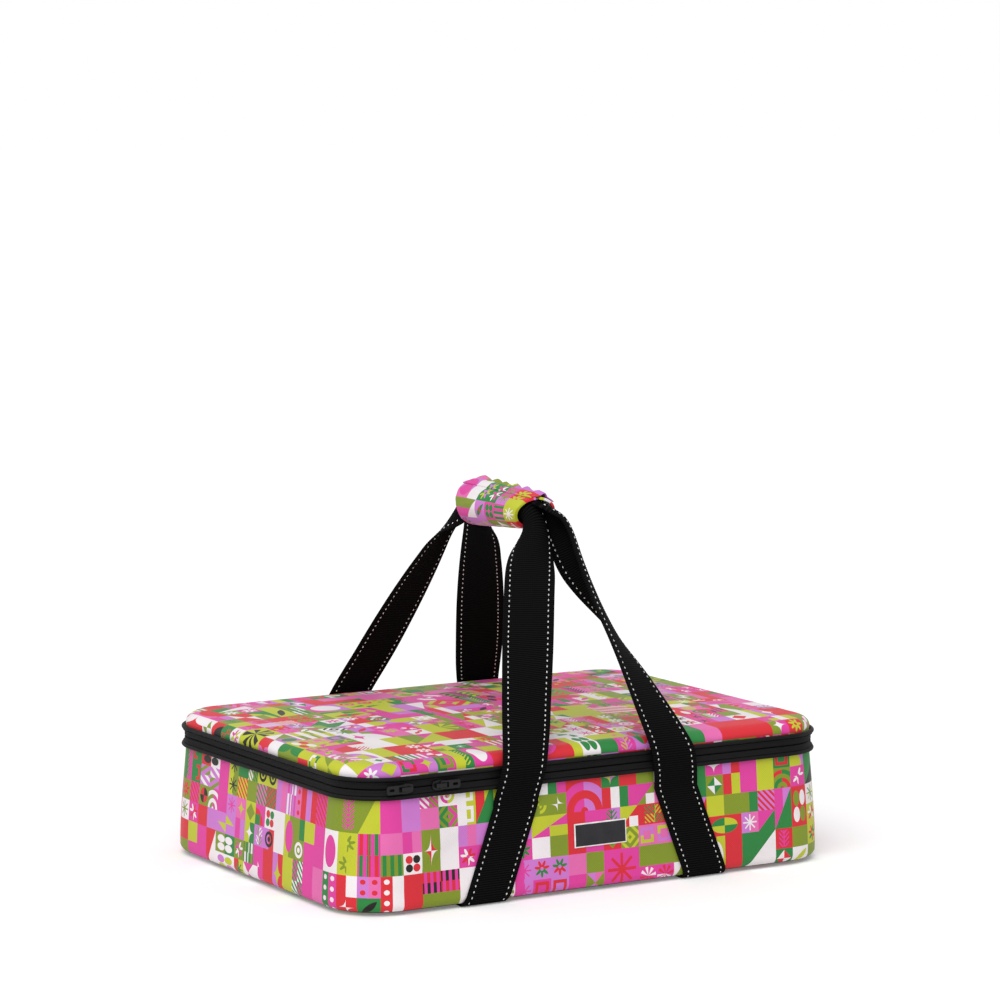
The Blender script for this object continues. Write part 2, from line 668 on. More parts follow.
def ribbed_webbing(colours, size):
    """Polypropylene webbing, woven with ribs across it: matt black, the grooves darker than the ribs."""
    finish, tree = new_finish("ribbed_polypropylene_webbing")
    uv = cloth_place(tree)
    along = put(tree, "ShaderNodeSeparateXYZ", None, (uv,)).outputs[0]
    turns = maths(tree, "COSINE", maths(tree, "MULTIPLY", along, 2 * math.pi / size.rib_pitch))
    # Yarns of 0.5 mm between the ribs, drawn 0.8 mm apart
    yarn = woven_bump(tree, uv, 0.8 * MM, 0.08 * MM)
    tone = ranged(tree, turns, (-0.2, 1.0), (0.2, 3.0))
    shade = toned(tree, tone, tuple(colours.webbing))
    close_principled(tree, {
        "Base Color": shade, "Roughness": 0.8, "Specular IOR Level": 0.05, "Normal": yarn,
    })
    return finish


def enamelled_zinc(colours):
    """Die-cast zinc, stove enamelled black: smooth and half glossy, with a faint orange peel."""
    finish, tree = new_finish("enamelled_zinc")
    place = own_place(tree)
    peel = clouds(tree, place, 1.2 * MM)
    bump = bumped(tree, 0.4, 0.02 * MM, peel)
    wear = ranged(tree, peel, (0.3, 0.7), (0.38, 0.52))
    close_principled(tree, {
        "Base Color": tuple(colours.enamel), "Roughness": wear, "Specular IOR Level": 0.3, "Coat Weight": 0.1,
        "Coat Roughness": 0.3, "Normal": bump,
    })
    return finish


def moulded_nylon(colours):
    """Nylon monofilament, wound and heat set: smooth, dark and a little glossy."""
    finish, tree = new_finish("moulded_nylon")
    place = own_place(tree)
    streaks = clouds(tree, place, 3 * MM)
    rough = ranged(tree, streaks, (0.3, 0.7), (0.32, 0.5))
    close_principled(tree, {
        "Base Color": tuple(colours.coil), "Roughness": rough, "IOR": 1.53,
    })
    return finish


def foil_film(colours):
    """Aluminised polyethylene film, laminated: silver, half matt, with fine creases that glint."""
    finish, tree = new_finish("foil_film")
    uv = cloth_place(tree)
    # Creases lie about 14 mm apart
    crease_scale = {"Vector": uv, "Scale": 1 / (14 * MM)}
    creases = put(tree, "ShaderNodeTexVoronoi", {"feature": "DISTANCE_TO_EDGE"}, crease_scale)
    fold = ranged(tree, creases.outputs["Distance"], (0.0, 0.3), (0.0, 1.0))
    fine = clouds(tree, uv, 5 * MM, "2D", 5.0)
    height = maths(tree, "MULTIPLY_ADD", fine, 0.6, fold)
    bump = bumped(tree, 0.7, 0.35 * MM, height)
    rough = ranged(tree, fine, (0.3, 0.7), (0.3, 0.45))
    close_principled(tree, {
        "Base Color": tuple(colours.lining), "Metallic": 0.7, "Roughness": rough, "Normal": bump,
    })
    return finish


def cellular_polyethylene(colours):
    """Closed-cell polyethylene foam, cut from a block: white and matt, with open cells at its faces."""
    finish, tree = new_finish("cellular_polyethylene")
    place = own_place(tree)
    cells = put(tree, "ShaderNodeTexVoronoi", None, {"Vector": place, "Scale": 1 / (0.9 * MM)})
    bump = bumped(tree, 0.5, 0.2 * MM, cells)
    tone = ranged(tree, cells, (0.0, 0.8), (0.92, 1.02))
    shade = toned(tree, tone, tuple(colours.foam))
    close_principled(tree, {
        "Base Color": shade, "Roughness": 0.9, "Specular IOR Level": 0.2, "Normal": bump,
    })
    return finish


def extruded_polyethylene(colours):
    """Polyethylene sheet, extruded and die cut: waxy grey, with faint lines along the sheet."""
    finish, tree = new_finish("extruded_polyethylene")
    place = own_place(tree)
    lines = put(tree, "ShaderNodeTexWave", None, {"Vector": place, "Scale": 1 / (6 * MM), "Distortion": 1.5})
    bump = bumped(tree, 0.2, 0.1 * MM, lines)
    rough = ranged(tree, lines, (0.0, 1.0), (0.45, 0.55))
    close_principled(tree, {
        "Base Color": tuple(colours.board), "Roughness": rough, "Normal": bump,
    })
    return finish


# Fibre finishes: own name, material's name, thread, depth of the weave, roughness and sheen
FIBRES = (
    ("thread", "twisted_polyester_thread", 0.5 * MM, 0.04 * MM, 0.6, 0.1),
    ("tape", "woven_polyester_tape", 0.9 * MM, 0.07 * MM, 0.75, 0.0),
    ("piping", "woven_piping_cloth", 0.9 * MM, 0.06 * MM, 0.6, 0.0),
    ("fastener", "hook_and_loop_nylon", 1.1 * MM, 0.5 * MM, 0.9, 0.3),
    ("label", "damask_woven_label", 0.7 * MM, 0.05 * MM, 0.65, 0.1),
    ("label_edge", "damask_woven_border", 0.7 * MM, 0.05 * MM, 0.65, 0.1),
)


class Finishes:
    """Every finish of the bag, each made once."""

    def __init__(self, context):
        colours = context.scene.carrier_colours
        size = measures(context)
        self.cloth = printed_polyester(colours, size)
        self.webbing = ribbed_webbing(colours, size)
        for own_name, name, *weave in FIBRES:
            setattr(self, own_name, fibre_finish(name, getattr(colours, own_name), *weave))
        self.coil = moulded_nylon(colours)
        self.enamel = enamelled_zinc(colours)
        self.lining = foil_film(colours)
        self.foam = cellular_polyethylene(colours)
        self.board = extruded_polyethylene(colours)


made_finishes = {}


def finishes(context):
    """The finishes, made when the first piece asks for them."""
    if "all" not in made_finishes:
        made_finishes["all"] = Finishes(context)
    return made_finishes["all"]


class PieceMaker:
    """Hands an operator the sizes, the rim and the finishes that its pieces take."""

    def execute(self, context):
        size = measures(context)
        self.make(size, Rim(size), finishes(context))
        return {"FINISHED"}


# Where the middle of each strap meets the bag, in millimetres along X: foot, rim and band, front and back
STRAP_FEET = {
    "left": {
        "front_foot": -104, "front_rim": -76, "front_band": -73,
        "back_foot": -78, "back_rim": -52, "back_band": -49,
    },
    "right": {
        "front_foot": 91, "front_rim": 66, "front_band": 62,
        "back_foot": 100, "back_rim": 80, "back_band": 79,
    },
}
SEWN_TOP = 72 * MM
# How far from a piping's middle the print ends
PRINT_GAP = 0.4 * MM
SEAM_RUN = 3 * MM
# Within which reach a strap keeps the cloth flat beside it
STRAP_REACH = (1 * MM, 14 * MM)
# How far the puckers reach from the seams of the band, of the hem and of the lid
PUCKER_REACH = 9 * MM
HEM_PUCKER_REACH = 5 * MM
LID_PUCKER_REACH = 7 * MM
LEAST_FADE_SHARE = 0.02
# Drift of the wall as a share of its swell, its size, and where the cloth goes under the piping
DRIFT_SHARE = 0.55
DRIFT_LENGTH = 70 * MM
UNDER_PIPING = (-0.5 * MM, 1.5 * MM)


def strap_x(size, feet, y, z):
    """Where a strap's middle runs on the bag at a place of its route."""
    half = size.half_depth + size.flare
    foot = feet["front_foot"] + (feet["back_foot"] - feet["front_foot"]) * (y + half) / (2 * half)
    rim = feet["front_rim"] if y < 0 else feet["back_rim"]
    climb = max(z - size.underside, 0) / (SEWN_TOP - size.underside)
    return (foot + (rim - foot) * climb) * MM


def wall_out(size, z):
    """How far the wall stands outside the rim at a height."""
    return size.flare * max(size.band_bottom - z, 0) / (size.band_bottom - size.edge_top)


def free_of_straps(size, x, y, z):
    """0 where a strap holds the cloth down, 1 away from the straps."""
    flat_side = np.abs(y) > size.half_depth - size.corner_radius
    free = np.ones_like(x)
    for feet in STRAP_FEET.values():
        front = strap_x(size, feet, -1, min(z, size.band_bottom))
        back = strap_x(size, feet, 1, min(z, size.band_bottom))
        middle = np.where(y < 0, front, back)
        beside = np.abs(x - middle) - size.web_width / 2
        free = np.where(flat_side, free * smooth(beside, *STRAP_REACH), free)
    return free


def cloudy(points, scale, seed):
    """Smooth noise from -1 to 1 at each point."""
    return np.array([noise.noise(Vector((x / scale + seed, y / scale, z / scale))) for x, y, z in points])


def seam_puckers(rim, size, distance_to_seam, seed, reach=PUCKER_REACH):
    """Small folds that run away from a seam and fade within their reach."""
    fade = math.exp(-max(distance_to_seam, 0) / reach)
    if fade < LEAST_FADE_SHARE:
        return np.zeros(rim.count)
    turns = rim.along[:-1] / size.pucker_pitch
    places = np.stack([turns, np.full(rim.count, seed), np.zeros(rim.count)], axis=1)
    return size.pucker_depth * fade * cloudy(places, 1, seed)


def wall_wave(rim, size, z):
    """How far the padded wall stands out of its plain form at a height, all round."""
    flat = rim.at(0)
    height = np.clip((z - size.edge_top) / (size.band_bottom - size.edge_top), 0, 1)
    swell = size.swell * math.sin(math.pi * height ** 0.8)
    places = np.column_stack([flat, np.full(rim.count, z)])
    drift = DRIFT_SHARE * size.swell * cloudy(places, DRIFT_LENGTH, 3.1)
    drift *= math.sin(math.pi * min(height + 0.12, 1))
    gathers = seam_puckers(rim, size, size.band_bottom - z, 5.3)
    hem = seam_puckers(rim, size, z - size.edge_top, 8.7, HEM_PUCKER_REACH) * 0.7
    under_piping = float(smooth(size.band_bottom - z, *UNDER_PIPING))
    return (swell + drift + gathers + hem) * free_of_straps(size, flat[:, 0], flat[:, 1], z) * under_piping


class CARRIER_OT_outer_wall(PieceMaker, bpy.types.Operator):
    """Printed outer wall, which turns under the bag and swells a little between its seams."""
    bl_idname = "carrier.outer_wall"
    bl_label = "Outer Wall"

    def make(self, size, rim, finish):
        centre = size.flare - size.bottom_edge
        rows = 22
        heights = np.linspace(size.edge_top, size.wall_top, rows + 1)[1:]
        outside = quarter_turn(centre, size.edge_top, size.bottom_edge, -90, 0, 8)
        outside += [(wall_out(size, z), z) for z in heights]
        thin = size.cloth_thickness
        inside = quarter_turn(centre, size.edge_top, size.bottom_edge - thin, -90, 0, 4)
        inside += [(wall_out(size, z) - thin, z) for z in heights[rows // 2 - 1::rows // 2]]
        profile = outside + inside[::-1]

        def waves(row, z):
            if z < size.edge_top:
                return 0
            return wall_wave(rim, size, z)

        piece = hoop(rim, "printed_wall", profile, [finish.cloth, finish.tape], waves)
        for face in piece.data.polygons:
            printed = size.underside + size.hem_height < face.center.z < size.piping_low - PRINT_GAP
            face.material_index = 0 if printed else 1
        settle(soften(piece), "box", "printed_cloth", "outer_wall")


# Rounded edges of the bottom's cloth and of its foam
BOTTOM_ROUND = 0.4 * MM
BOTTOM_FOAM_ROUND = 1.2 * MM


class CARRIER_OT_bottom(PieceMaker, bpy.types.Operator):
    """Printed bottom cloth, with the foam and the board that it carries."""
    bl_idname = "carrier.bottom"
    bl_label = "Bottom"

    def make(self, size, rim, finish):

        def flat_rings(outer, low, high, rounding):
            """Rings from the middle outwards over a slab with rounded edges and back."""
            steps = np.linspace(-size.half_depth + LEAST_RADIUS, outer - rounding, 12)
            edge = quarter_turn(outer - rounding, high - rounding, rounding, 90, 0, 3)
            under = quarter_turn(outer - rounding, low + rounding, rounding, 0, -90, 3)
            top = [(out, high) for out in steps[:-1]]
            return top + edge + under + [(out, low) for out in steps[:-1][::-1]]

        pieces = (
            ("printed_bottom", "outer_bottom", "printed_cloth", FRAME_BOTTOM, BOTTOM_ROUND, finish.cloth),
            ("bottom_padding", "bottom_foam", "foam", FRAME_BOTTOM_FOAM, BOTTOM_FOAM_ROUND, finish.foam),
        )
        for name, node, slot, (low, high), rounding, material in pieces:
            outer = high.x - size.half_length
            profile = flat_rings(outer, low.z, high.z, rounding)
            settle(dish(rim, name, profile, [material]), "box", slot, node)
        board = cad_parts["base_board"]
        board.data.materials.clear()
        board.data.materials.append(finish.board)


def wall_line(size, depth, low, high, rows):
    """The wall's line at a depth below the cloth, upwards."""
    return [(wall_out(size, z) - depth, z) for z in np.linspace(low, high, rows)]


# Lining of the box: the radius at its floor, where its wall starts, and its creases by depth, size and seed
LINER_TURN = 4 * MM
LINER_WALL_START = 6 * MM
LINER_CREASES = ((0.5 * MM, 26 * MM, 1.7), (0.25 * MM, 9 * MM, 6.1))
# How the creases fade towards the top edge, and where the floor turns into the wall
LINER_TOP_FADE = (12 * MM, 2 * MM)
LINER_FLOOR_TURN = (2 * MM, 8 * MM)
LINER_CREASE_SHARE = 0.8
PADDING_ROWS = 14
# The bound edges: thickness of the tape, and the step in which its soft corners are laid out
BINDING_THICKNESS = 0.8 * MM
BINDING_STEP = 0.1 * MM


class CARRIER_OT_wall_lining(PieceMaker, bpy.types.Operator):
    """Foam in the wall, the silver lining with its floor, and the binding over their top edge."""
    bl_idname = "carrier.wall_lining"
    bl_label = "Wall Lining"

    def make(self, size, rim, finish):
        low = FRAME_FOAM[0].z
        top = FRAME_FOAM[1].z
        depth = size.foam_depth
        foam = wall_line(size, depth, low, top, PADDING_ROWS)
        foam += wall_line(size, depth + size.foam_thickness, low, top, 4)[::-1]

        def with_wall(row, z):
            return wall_wave(rim, size, z) if row < PADDING_ROWS else 0

        piece = hoop(rim, "wall_padding", foam, [finish.foam], with_wall)
        settle(soften(piece), "box", "foam", "wall_foam")

        thin = size.film_thickness
        floor = FRAME_LINER[0].z
        inner_depth = size.liner_depth + thin
        turn_out = wall_out(size, floor) - inner_depth - LINER_TURN
        rings = np.linspace(-size.half_depth + LEAST_RADIUS, turn_out, 16)
        turn = quarter_turn(turn_out, floor + thin + LINER_TURN, LINER_TURN, -90, 0, 5)
        inside = [(out, floor + thin) for out in rings[:-1]] + turn
        inside += wall_line(size, inner_depth, floor + thin + LINER_WALL_START, top, PADDING_ROWS)
        outside = wall_line(size, size.liner_depth, floor, top, 3)[::-1]
        outside += [(out, floor) for out in rings[:-1][::-3]] + [(rings[0], floor)]

        def creased(row, points):
            if row >= len(inside):
                return points
            depth = sum(deep * (1 + cloudy(points, scale, seed)) for deep, scale, seed in LINER_CREASES)
            edge = 1 - smooth(points[:, 2], *(top - below for below in LINER_TOP_FADE))
            upright = smooth(points[:, 2], *(floor + above for above in LINER_FLOOR_TURN))[:, None]
            inward = np.column_stack([-rim.normal, np.zeros(rim.count)])
            up = np.array([0.0, 0.0, 1.0])
            way = inward * upright + up * (1 - upright)
            return points + way * (depth * edge)[:, None] * LINER_CREASE_SHARE

        piece = dish(rim, "silver_lining", inside + outside, [finish.lining], creased)
        settle(soften(piece), "box", "lining", "inner_liner")

        outer = FRAME_BINDING[1].x - size.half_length
        tape_top = FRAME_BINDING[1].z
        leg_bottom = FRAME_BINDING[0].z
        over = top + size.fit_gap
        leg = -size.binding_depth
        inner = leg - BINDING_THICKNESS
        step = BINDING_STEP
        profile = [
            (outer, over), (outer, tape_top - 4 * step), (outer - 4 * step, tape_top),
            (inner + 6 * step, tape_top),
            (inner + 1.5 * step, tape_top - 3 * step), (inner, tape_top - 8 * step),
            (inner - step, (tape_top + leg_bottom) / 2), (inner, leg_bottom + 3 * step),
            (inner + 3 * step, leg_bottom), (leg, leg_bottom), (leg, over),
        ]
        piece = hoop(rim, "rim_tape", profile, [finish.tape])
        settle(soften(piece, TAPE_CRISP), "box", "tape", "rim_binding")


def lid_line(size, depth, bottom, rings):
    """The lid's line at a depth below the cloth, from the middle outwards and down to a height."""
    shoulder = size.shoulder_radius
    inward = size.half_depth - shoulder
    top = size.shoulder_height + shoulder - depth
    line = []
    for share in np.linspace(1 - LEAST_RADIUS / inward, 0, rings)[:-1]:
        line.append((-shoulder - share * inward, top + size.lid_crown * math.sin(share * math.pi / 2)))
    line += quarter_turn(-shoulder, size.shoulder_height, shoulder - depth, 90, 0, 10)
    steps = max(2, int((size.shoulder_height - bottom) / (2 * MM)))
    line += [(-depth, z) for z in np.linspace(size.shoulder_height, bottom, steps + 1)[1:]]
    return line


# Drift of the lid's top by its share of the swell, its size and its seed, and creases of the lining by depth
LID_DRIFTS = ((1.1, 85 * MM, 12.4), (0.4, 32 * MM, 2.2))
LID_CREASES = ((0.6 * MM, 30 * MM, 4.4), (0.3 * MM, 10 * MM, 9.9))
# How far in from the lid's edge its top starts to drift and drifts fully
LID_EDGE_REACH = (4 * MM, 40 * MM)
# Where the lid's rounded side turns upright, and its shares of puckers, bulge and upward move
LID_SIDE_REACH = (-9 * MM, -1 * MM)
LID_PUCKER_SHARE = 0.4
LID_BULGE_SHARE = 0.7
LID_UPWARD_SHARE = 0.35


def lid_lift(rim, size):
    """Moves the lid's cloth by its soft swell, its drift and the puckers along the piping."""
    def lift(row, points):
        over = np.clip((points[:, 2] - size.band_top) / size.shoulder_radius, 0, 1)
        edge = np.minimum(size.half_length - np.abs(points[:, 0]), size.half_depth - np.abs(points[:, 1]))
        drift = sum(share * cloudy(points, scale, seed) for share, scale, seed in LID_DRIFTS)
        height = size.swell * drift * smooth(edge, *LID_EDGE_REACH)
        puckers = seam_puckers(rim, size, points[0, 2] - size.band_top, 21.9, LID_PUCKER_REACH)
        side = smooth(-edge, *LID_SIDE_REACH) * over
        bulge = size.swell * LID_BULGE_SHARE * np.sin(np.pi * over) * (edge < size.shoulder_radius)
        out = (puckers * (LID_PUCKER_SHARE + side) + bulge)[:, None]
        normal = np.column_stack([rim.normal, np.full(rim.count, LID_UPWARD_SHARE)])
        moved = points + normal * out * (over > 0)[:, None]
        moved[:, 2] += height
        return moved
    return lift


class CARRIER_OT_lid(PieceMaker, bpy.types.Operator):
    """Printed lid, crowned over its padding, with puckers where it is sewn to the piping."""
    bl_idname = "carrier.lid"
    bl_label = "Lid"

    def make(self, size, rim, finish):
        bottom = FRAME_LID[0].z
        outside = lid_line(size, 0, bottom, 34)
        inside = lid_line(size, size.cloth_thickness, bottom, 10)
        cloths = [finish.cloth, finish.tape]
        piece = dish(rim, "printed_lid", outside + inside[::-1], cloths, lid_lift(rim, size))
        for face in piece.data.polygons:
            face.material_index = int(face.center.z < size.piping_high + PRINT_GAP)
        settle(soften(piece), "lid", "printed_cloth", "lid_outer")


class CARRIER_OT_lid_lining(PieceMaker, bpy.types.Operator):
    """Foam and silver lining in the lid, and the binding round their edge."""
    bl_idname = "carrier.lid_lining"
    bl_label = "Lid Lining"

    def make(self, size, rim, finish):
        low = FRAME_LID_FOAM[0].z
        lifted = lid_lift(rim, size)
        layers = (
            ("lid_padding", "lid_foam", "foam", size.foam_depth, size.foam_thickness, finish.foam),
            (
                "silver_lid_lining", "lid_liner", "lining", size.liner_depth, size.film_thickness,
                finish.lining,
            ),
        )
        for name, node, slot, depth, thickness, material in layers:
            outside = lid_line(size, depth, low, 20)
            inside = lid_line(size, depth + thickness, low, 20)
            middle = len(outside)

            def creased(row, points, middle=middle):
                if row < middle:
                    return lifted(row, points)
                creases = sum(deep * cloudy(points, scale, seed) for deep, scale, seed in LID_CREASES)
                on_top = smooth(points[:, 2], size.band_top, size.band_top + 2 * MM)
                moved = points.copy()
                moved[:, 2] -= (LID_CREASES[0][0] + creases) * on_top
                return moved

            shape = creased if slot == "lining" else lifted
            piece = dish(rim, name, outside + inside[::-1], [material], shape)
            settle(soften(piece), "lid", slot, node)
        outer = FRAME_LID_BINDING[1].x - size.half_length
        tape_low = FRAME_LID_BINDING[0].z
        leg_top = FRAME_LID_BINDING[1].z
        face = low - size.fit_gap
        leg = -size.binding_depth
        inner = leg - BINDING_THICKNESS
        step = BINDING_STEP
        profile = [
            (outer, face), (outer, tape_low + 3 * step), (outer - 3 * step, tape_low),
            (inner + 5 * step, tape_low), (inner, tape_low + 5 * step),
            (inner - step, (tape_low + leg_top) / 2),
            (inner + 3 * step, leg_top), (leg, leg_top), (leg, face),
        ]
        piece = hoop(rim, "lid_rim_tape", profile, [finish.tape])
        settle(soften(piece, TAPE_CRISP), "lid", "tape", "lid_binding")


# Sides of a covered cord, and its unevenness as a share of the puckers
CORD_SIDES = 14
CORD_UNEVEN_SHARE = 0.35


class CARRIER_OT_piping(PieceMaker, bpy.types.Operator):
    """Two cloth-covered cords, one on each side of the zip band."""
    bl_idname = "carrier.piping"
    bl_label = "Piping"

    def make(self, size, rim, finish):
        radius = size.piping_diameter / 2
        cords = (
            ("lower_piping_cord", "lower_piping", "box", size.piping_low, 1.3),
            ("upper_piping_cord", "upper_piping", "lid", size.piping_high, 4.9),
        )
        for name, node, body, height, seed in cords:
            angles = [2 * math.pi * (i + 0.5) / CORD_SIDES for i in range(CORD_SIDES)]
            profile = [
                (size.fit_gap + radius + radius * math.cos(a), height + radius * math.sin(a)) for a in angles
            ]

            def uneven(row, z, seed=seed):
                return seam_puckers(rim, size, 0, seed) * CORD_UNEVEN_SHARE

            piece = hoop(rim, name, profile, [finish.piping], uneven)
            settle(piece, body, "piping", node)


# How far a zip tape rises beside its piping, over that same length, and how its edges turn
TAPE_RISE = 1.3 * MM
TAPE_EDGE_IN = 0.1 * MM
TAPE_EDGE_RUN = 0.5 * MM
TAPE_ROUND_SHARE = 0.4


def tape_profile(inner, outer, piping_edge, slit_edge):
    """A flat woven tape from the piping, where it rises to the cord, to its selvedge at the slit."""
    way = math.copysign(1, slit_edge - piping_edge)
    round_by = way * (outer - inner) * TAPE_ROUND_SHARE
    raised = outer + TAPE_RISE
    section = [
        (inner, piping_edge), (raised, piping_edge),
        (raised - TAPE_EDGE_IN, piping_edge + way * TAPE_EDGE_RUN),
        (outer, piping_edge + way * TAPE_RISE), (outer, (piping_edge + slit_edge) / 2),
        (outer, slit_edge - round_by),
        (outer - abs(round_by), slit_edge), (inner + abs(round_by), slit_edge), (inner, slit_edge - round_by),
        (inner, (piping_edge + slit_edge) / 2),
    ]
    return section if way > 0 else section[::-1]


class CARRIER_OT_zip(PieceMaker, bpy.types.Operator):
    """Zip tapes on three sides, each with its wound coil of teeth."""
    bl_idname = "carrier.zip"
    bl_label = "Zip"

    def make(self, size, rim, finish):
        tapes = (
            ("lower_tape", "lower_zip_tape", "box", FRAME_LOWER_TAPE),
            ("upper_tape", "upper_zip_tape", "lid", FRAME_UPPER_TAPE),
        )
        for name, node, body, (low, high) in tapes:
            outer = high.x - size.half_length
            edges = (low.z, high.z) if body == "box" else (high.z, low.z)
            profile = tape_profile(size.fit_gap, outer, *edges)
            piece = hoop(rim, name, profile, [finish.tape], three_sided=True)
            settle(soften(piece, TAPE_CRISP), body, "tape", node)
        coils = (
            ("lower_coil", "lower_zip_coil", "box", FRAME_LOWER_COIL),
            ("upper_coil", "upper_zip_coil", "lid", FRAME_UPPER_COIL),
        )
        for name, node, body, (low, high) in coils:
            piece = wound_coil(rim, size, name, low.z, high.z, high.x - size.half_length, finish.coil)
            settle(piece, body, "coil", node)


# The zip's coil: its depth, the radius of its filament and how finely both are divided
COIL_DEPTH = 0.9 * MM
WIRE_RADIUS = 0.33 * MM
WIRE_SIDES = 5
COIL_TURN_STEPS = 8


def wound_coil(rim, size, name, low, high, outer, finish):
    """One half of the zip's coil: a flattened helix of filament along the tape's edge."""
    turn_steps = COIL_TURN_STEPS
    wire_sides = WIRE_SIDES
    wire = WIRE_RADIUS
    depth = COIL_DEPTH
    chosen = rim.three_sides()
    base = rim.at(outer - depth / 2)[chosen]
    normal = rim.normal[chosen]
    steps = np.linalg.norm(np.diff(base, axis=0), axis=1)
    along = np.concatenate([[0], np.cumsum(steps)])
    count = int(along[-1] / size.coil_pitch * turn_steps)
    places = np.linspace(0, along[-1], count)
    centre = np.column_stack([np.interp(places, along, base[:, i]) for i in (0, 1)])
    outward = np.column_stack([np.interp(places, along, normal[:, i]) for i in (0, 1)])
    outward /= np.linalg.norm(outward, axis=1)[:, None]
    angle = 2 * math.pi * np.arange(count) / turn_steps
    reach_out = depth / 2 - wire
    reach_up = (high - low) / 2 - wire
    path = np.zeros((count, 3))
    path[:, :2] = centre + outward * (reach_out * np.cos(angle))[:, None]
    path[:, 2] = (low + high) / 2 + reach_up * np.sin(angle)
    forward = np.gradient(path, axis=0)
    forward /= np.linalg.norm(forward, axis=1)[:, None]
    side = np.cross(forward, np.array([0.0, 0.0, 1.0]))
    side /= np.maximum(np.linalg.norm(side, axis=1), 1e-6)[:, None]
    rise = np.cross(side, forward)
    round_wire = 2 * math.pi * np.arange(wire_sides) / wire_sides
    sideways = side[:, None, :] * np.cos(round_wire)[None, :, None]
    upwards = rise[:, None, :] * np.sin(round_wire)[None, :, None]
    points = path[:, None, :] + wire * (sideways + upwards)
    faces, corners = woven_faces(count, wire_sides, False, True)
    around = np.linspace(0, 2 * math.pi * wire, wire_sides + 1)
    uv = unrolled_grid(places, around, "ij")
    close_ends(faces, corners, count, wire_sides, True)
    return make_object(name, points.reshape(-1, 3), faces, corners, uv, [finish])


# Half the height over which the hinge tape bends, and the soft groove at its middle
HINGE_BEND = 2.5 * MM
HINGE_GROOVE = 0.25 * MM
HINGE_GROOVE_REACH = 1.2 * MM


class CARRIER_OT_hinge_tape(PieceMaker, bpy.types.Operator):
    """Cloth along the back that joins the lid to the box and bends as the lid opens."""
    bl_idname = "carrier.hinge_tape"
    bl_label = "Hinge Tape"

    def make(self, size, rim, finish):
        low, high = FRAME_HINGE_TAPE
        rows = 13
        columns = 90
        heights = np.linspace(low.z, high.z, rows)
        xs = np.linspace(low.x, high.x, columns)
        half = (high.y - low.y) / 2
        middle = (high.y + low.y) / 2
        centre = (low.z + high.z) / 2
        grid = []
        for sign in (1, -1):
            ordered = heights if sign > 0 else heights[::-1]
            for z in ordered:
                near_edge = min(z - low.z, high.z - z)
                thick = half * (0.55 + 0.45 * float(smooth(near_edge, 0, 0.6 * MM)))
                groove = HINGE_GROOVE * math.exp(-((z - centre) / HINGE_GROOVE_REACH) ** 2) if sign > 0 else 0
                grid.append([(x, middle + sign * thick - groove, z) for x in xs])
        points = np.array(grid).reshape(-1, 3)
        faces, corners = woven_faces(len(grid), columns, True, False)
        lengths = np.arange(len(grid) + 1) * (heights[1] - heights[0])
        uv = unrolled_grid(np.append(xs, xs[-1]), lengths)
        close_ends(faces, corners, len(grid), columns, False)
        piece = make_object("hinge_tape", points, faces, corners, uv, [finish.tape])
        soften(piece, TAPE_CRISP)
        start, end = ((0, middle, centre + side * HINGE_BEND) for side in (-1, 1))
        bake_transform(piece)
        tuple(start)
        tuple(end)
        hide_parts("back_hinge_tape")


# Soft edge of the cast sliders, and the least turn that it softens, in degrees
CAST_EDGE = 0.16 * MM
CAST_ANGLE = 35


class CARRIER_OT_sliders(PieceMaker, bpy.types.Operator):
    """Black enamel and softened edges on the zip's sliders and pulls."""
    bl_idname = "carrier.sliders"
    bl_label = "Sliders"

    def make(self, size, rim, finish):
        for name in ("left_slider", "left_pull", "right_slider", "right_pull"):
            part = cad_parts[name]
            part.data.materials.clear()
            part.data.materials.append(finish.enamel)
            edge = part.modifiers.new("softened_edges", "BEVEL")
            edge.width = CAST_EDGE
            edge.segments = 2
            edge.limit_method = "ANGLE"
            edge.angle_limit = math.radians(CAST_ANGLE)


# The label's border, its thickness in the middle and at its edge, and its clearance to the cloth
LABEL_BORDER = 0.9 * MM
LABEL_THICKNESS = 0.7 * MM
LABEL_EDGE_SHARE = 0.72
LABEL_GAP = 0.15 * MM


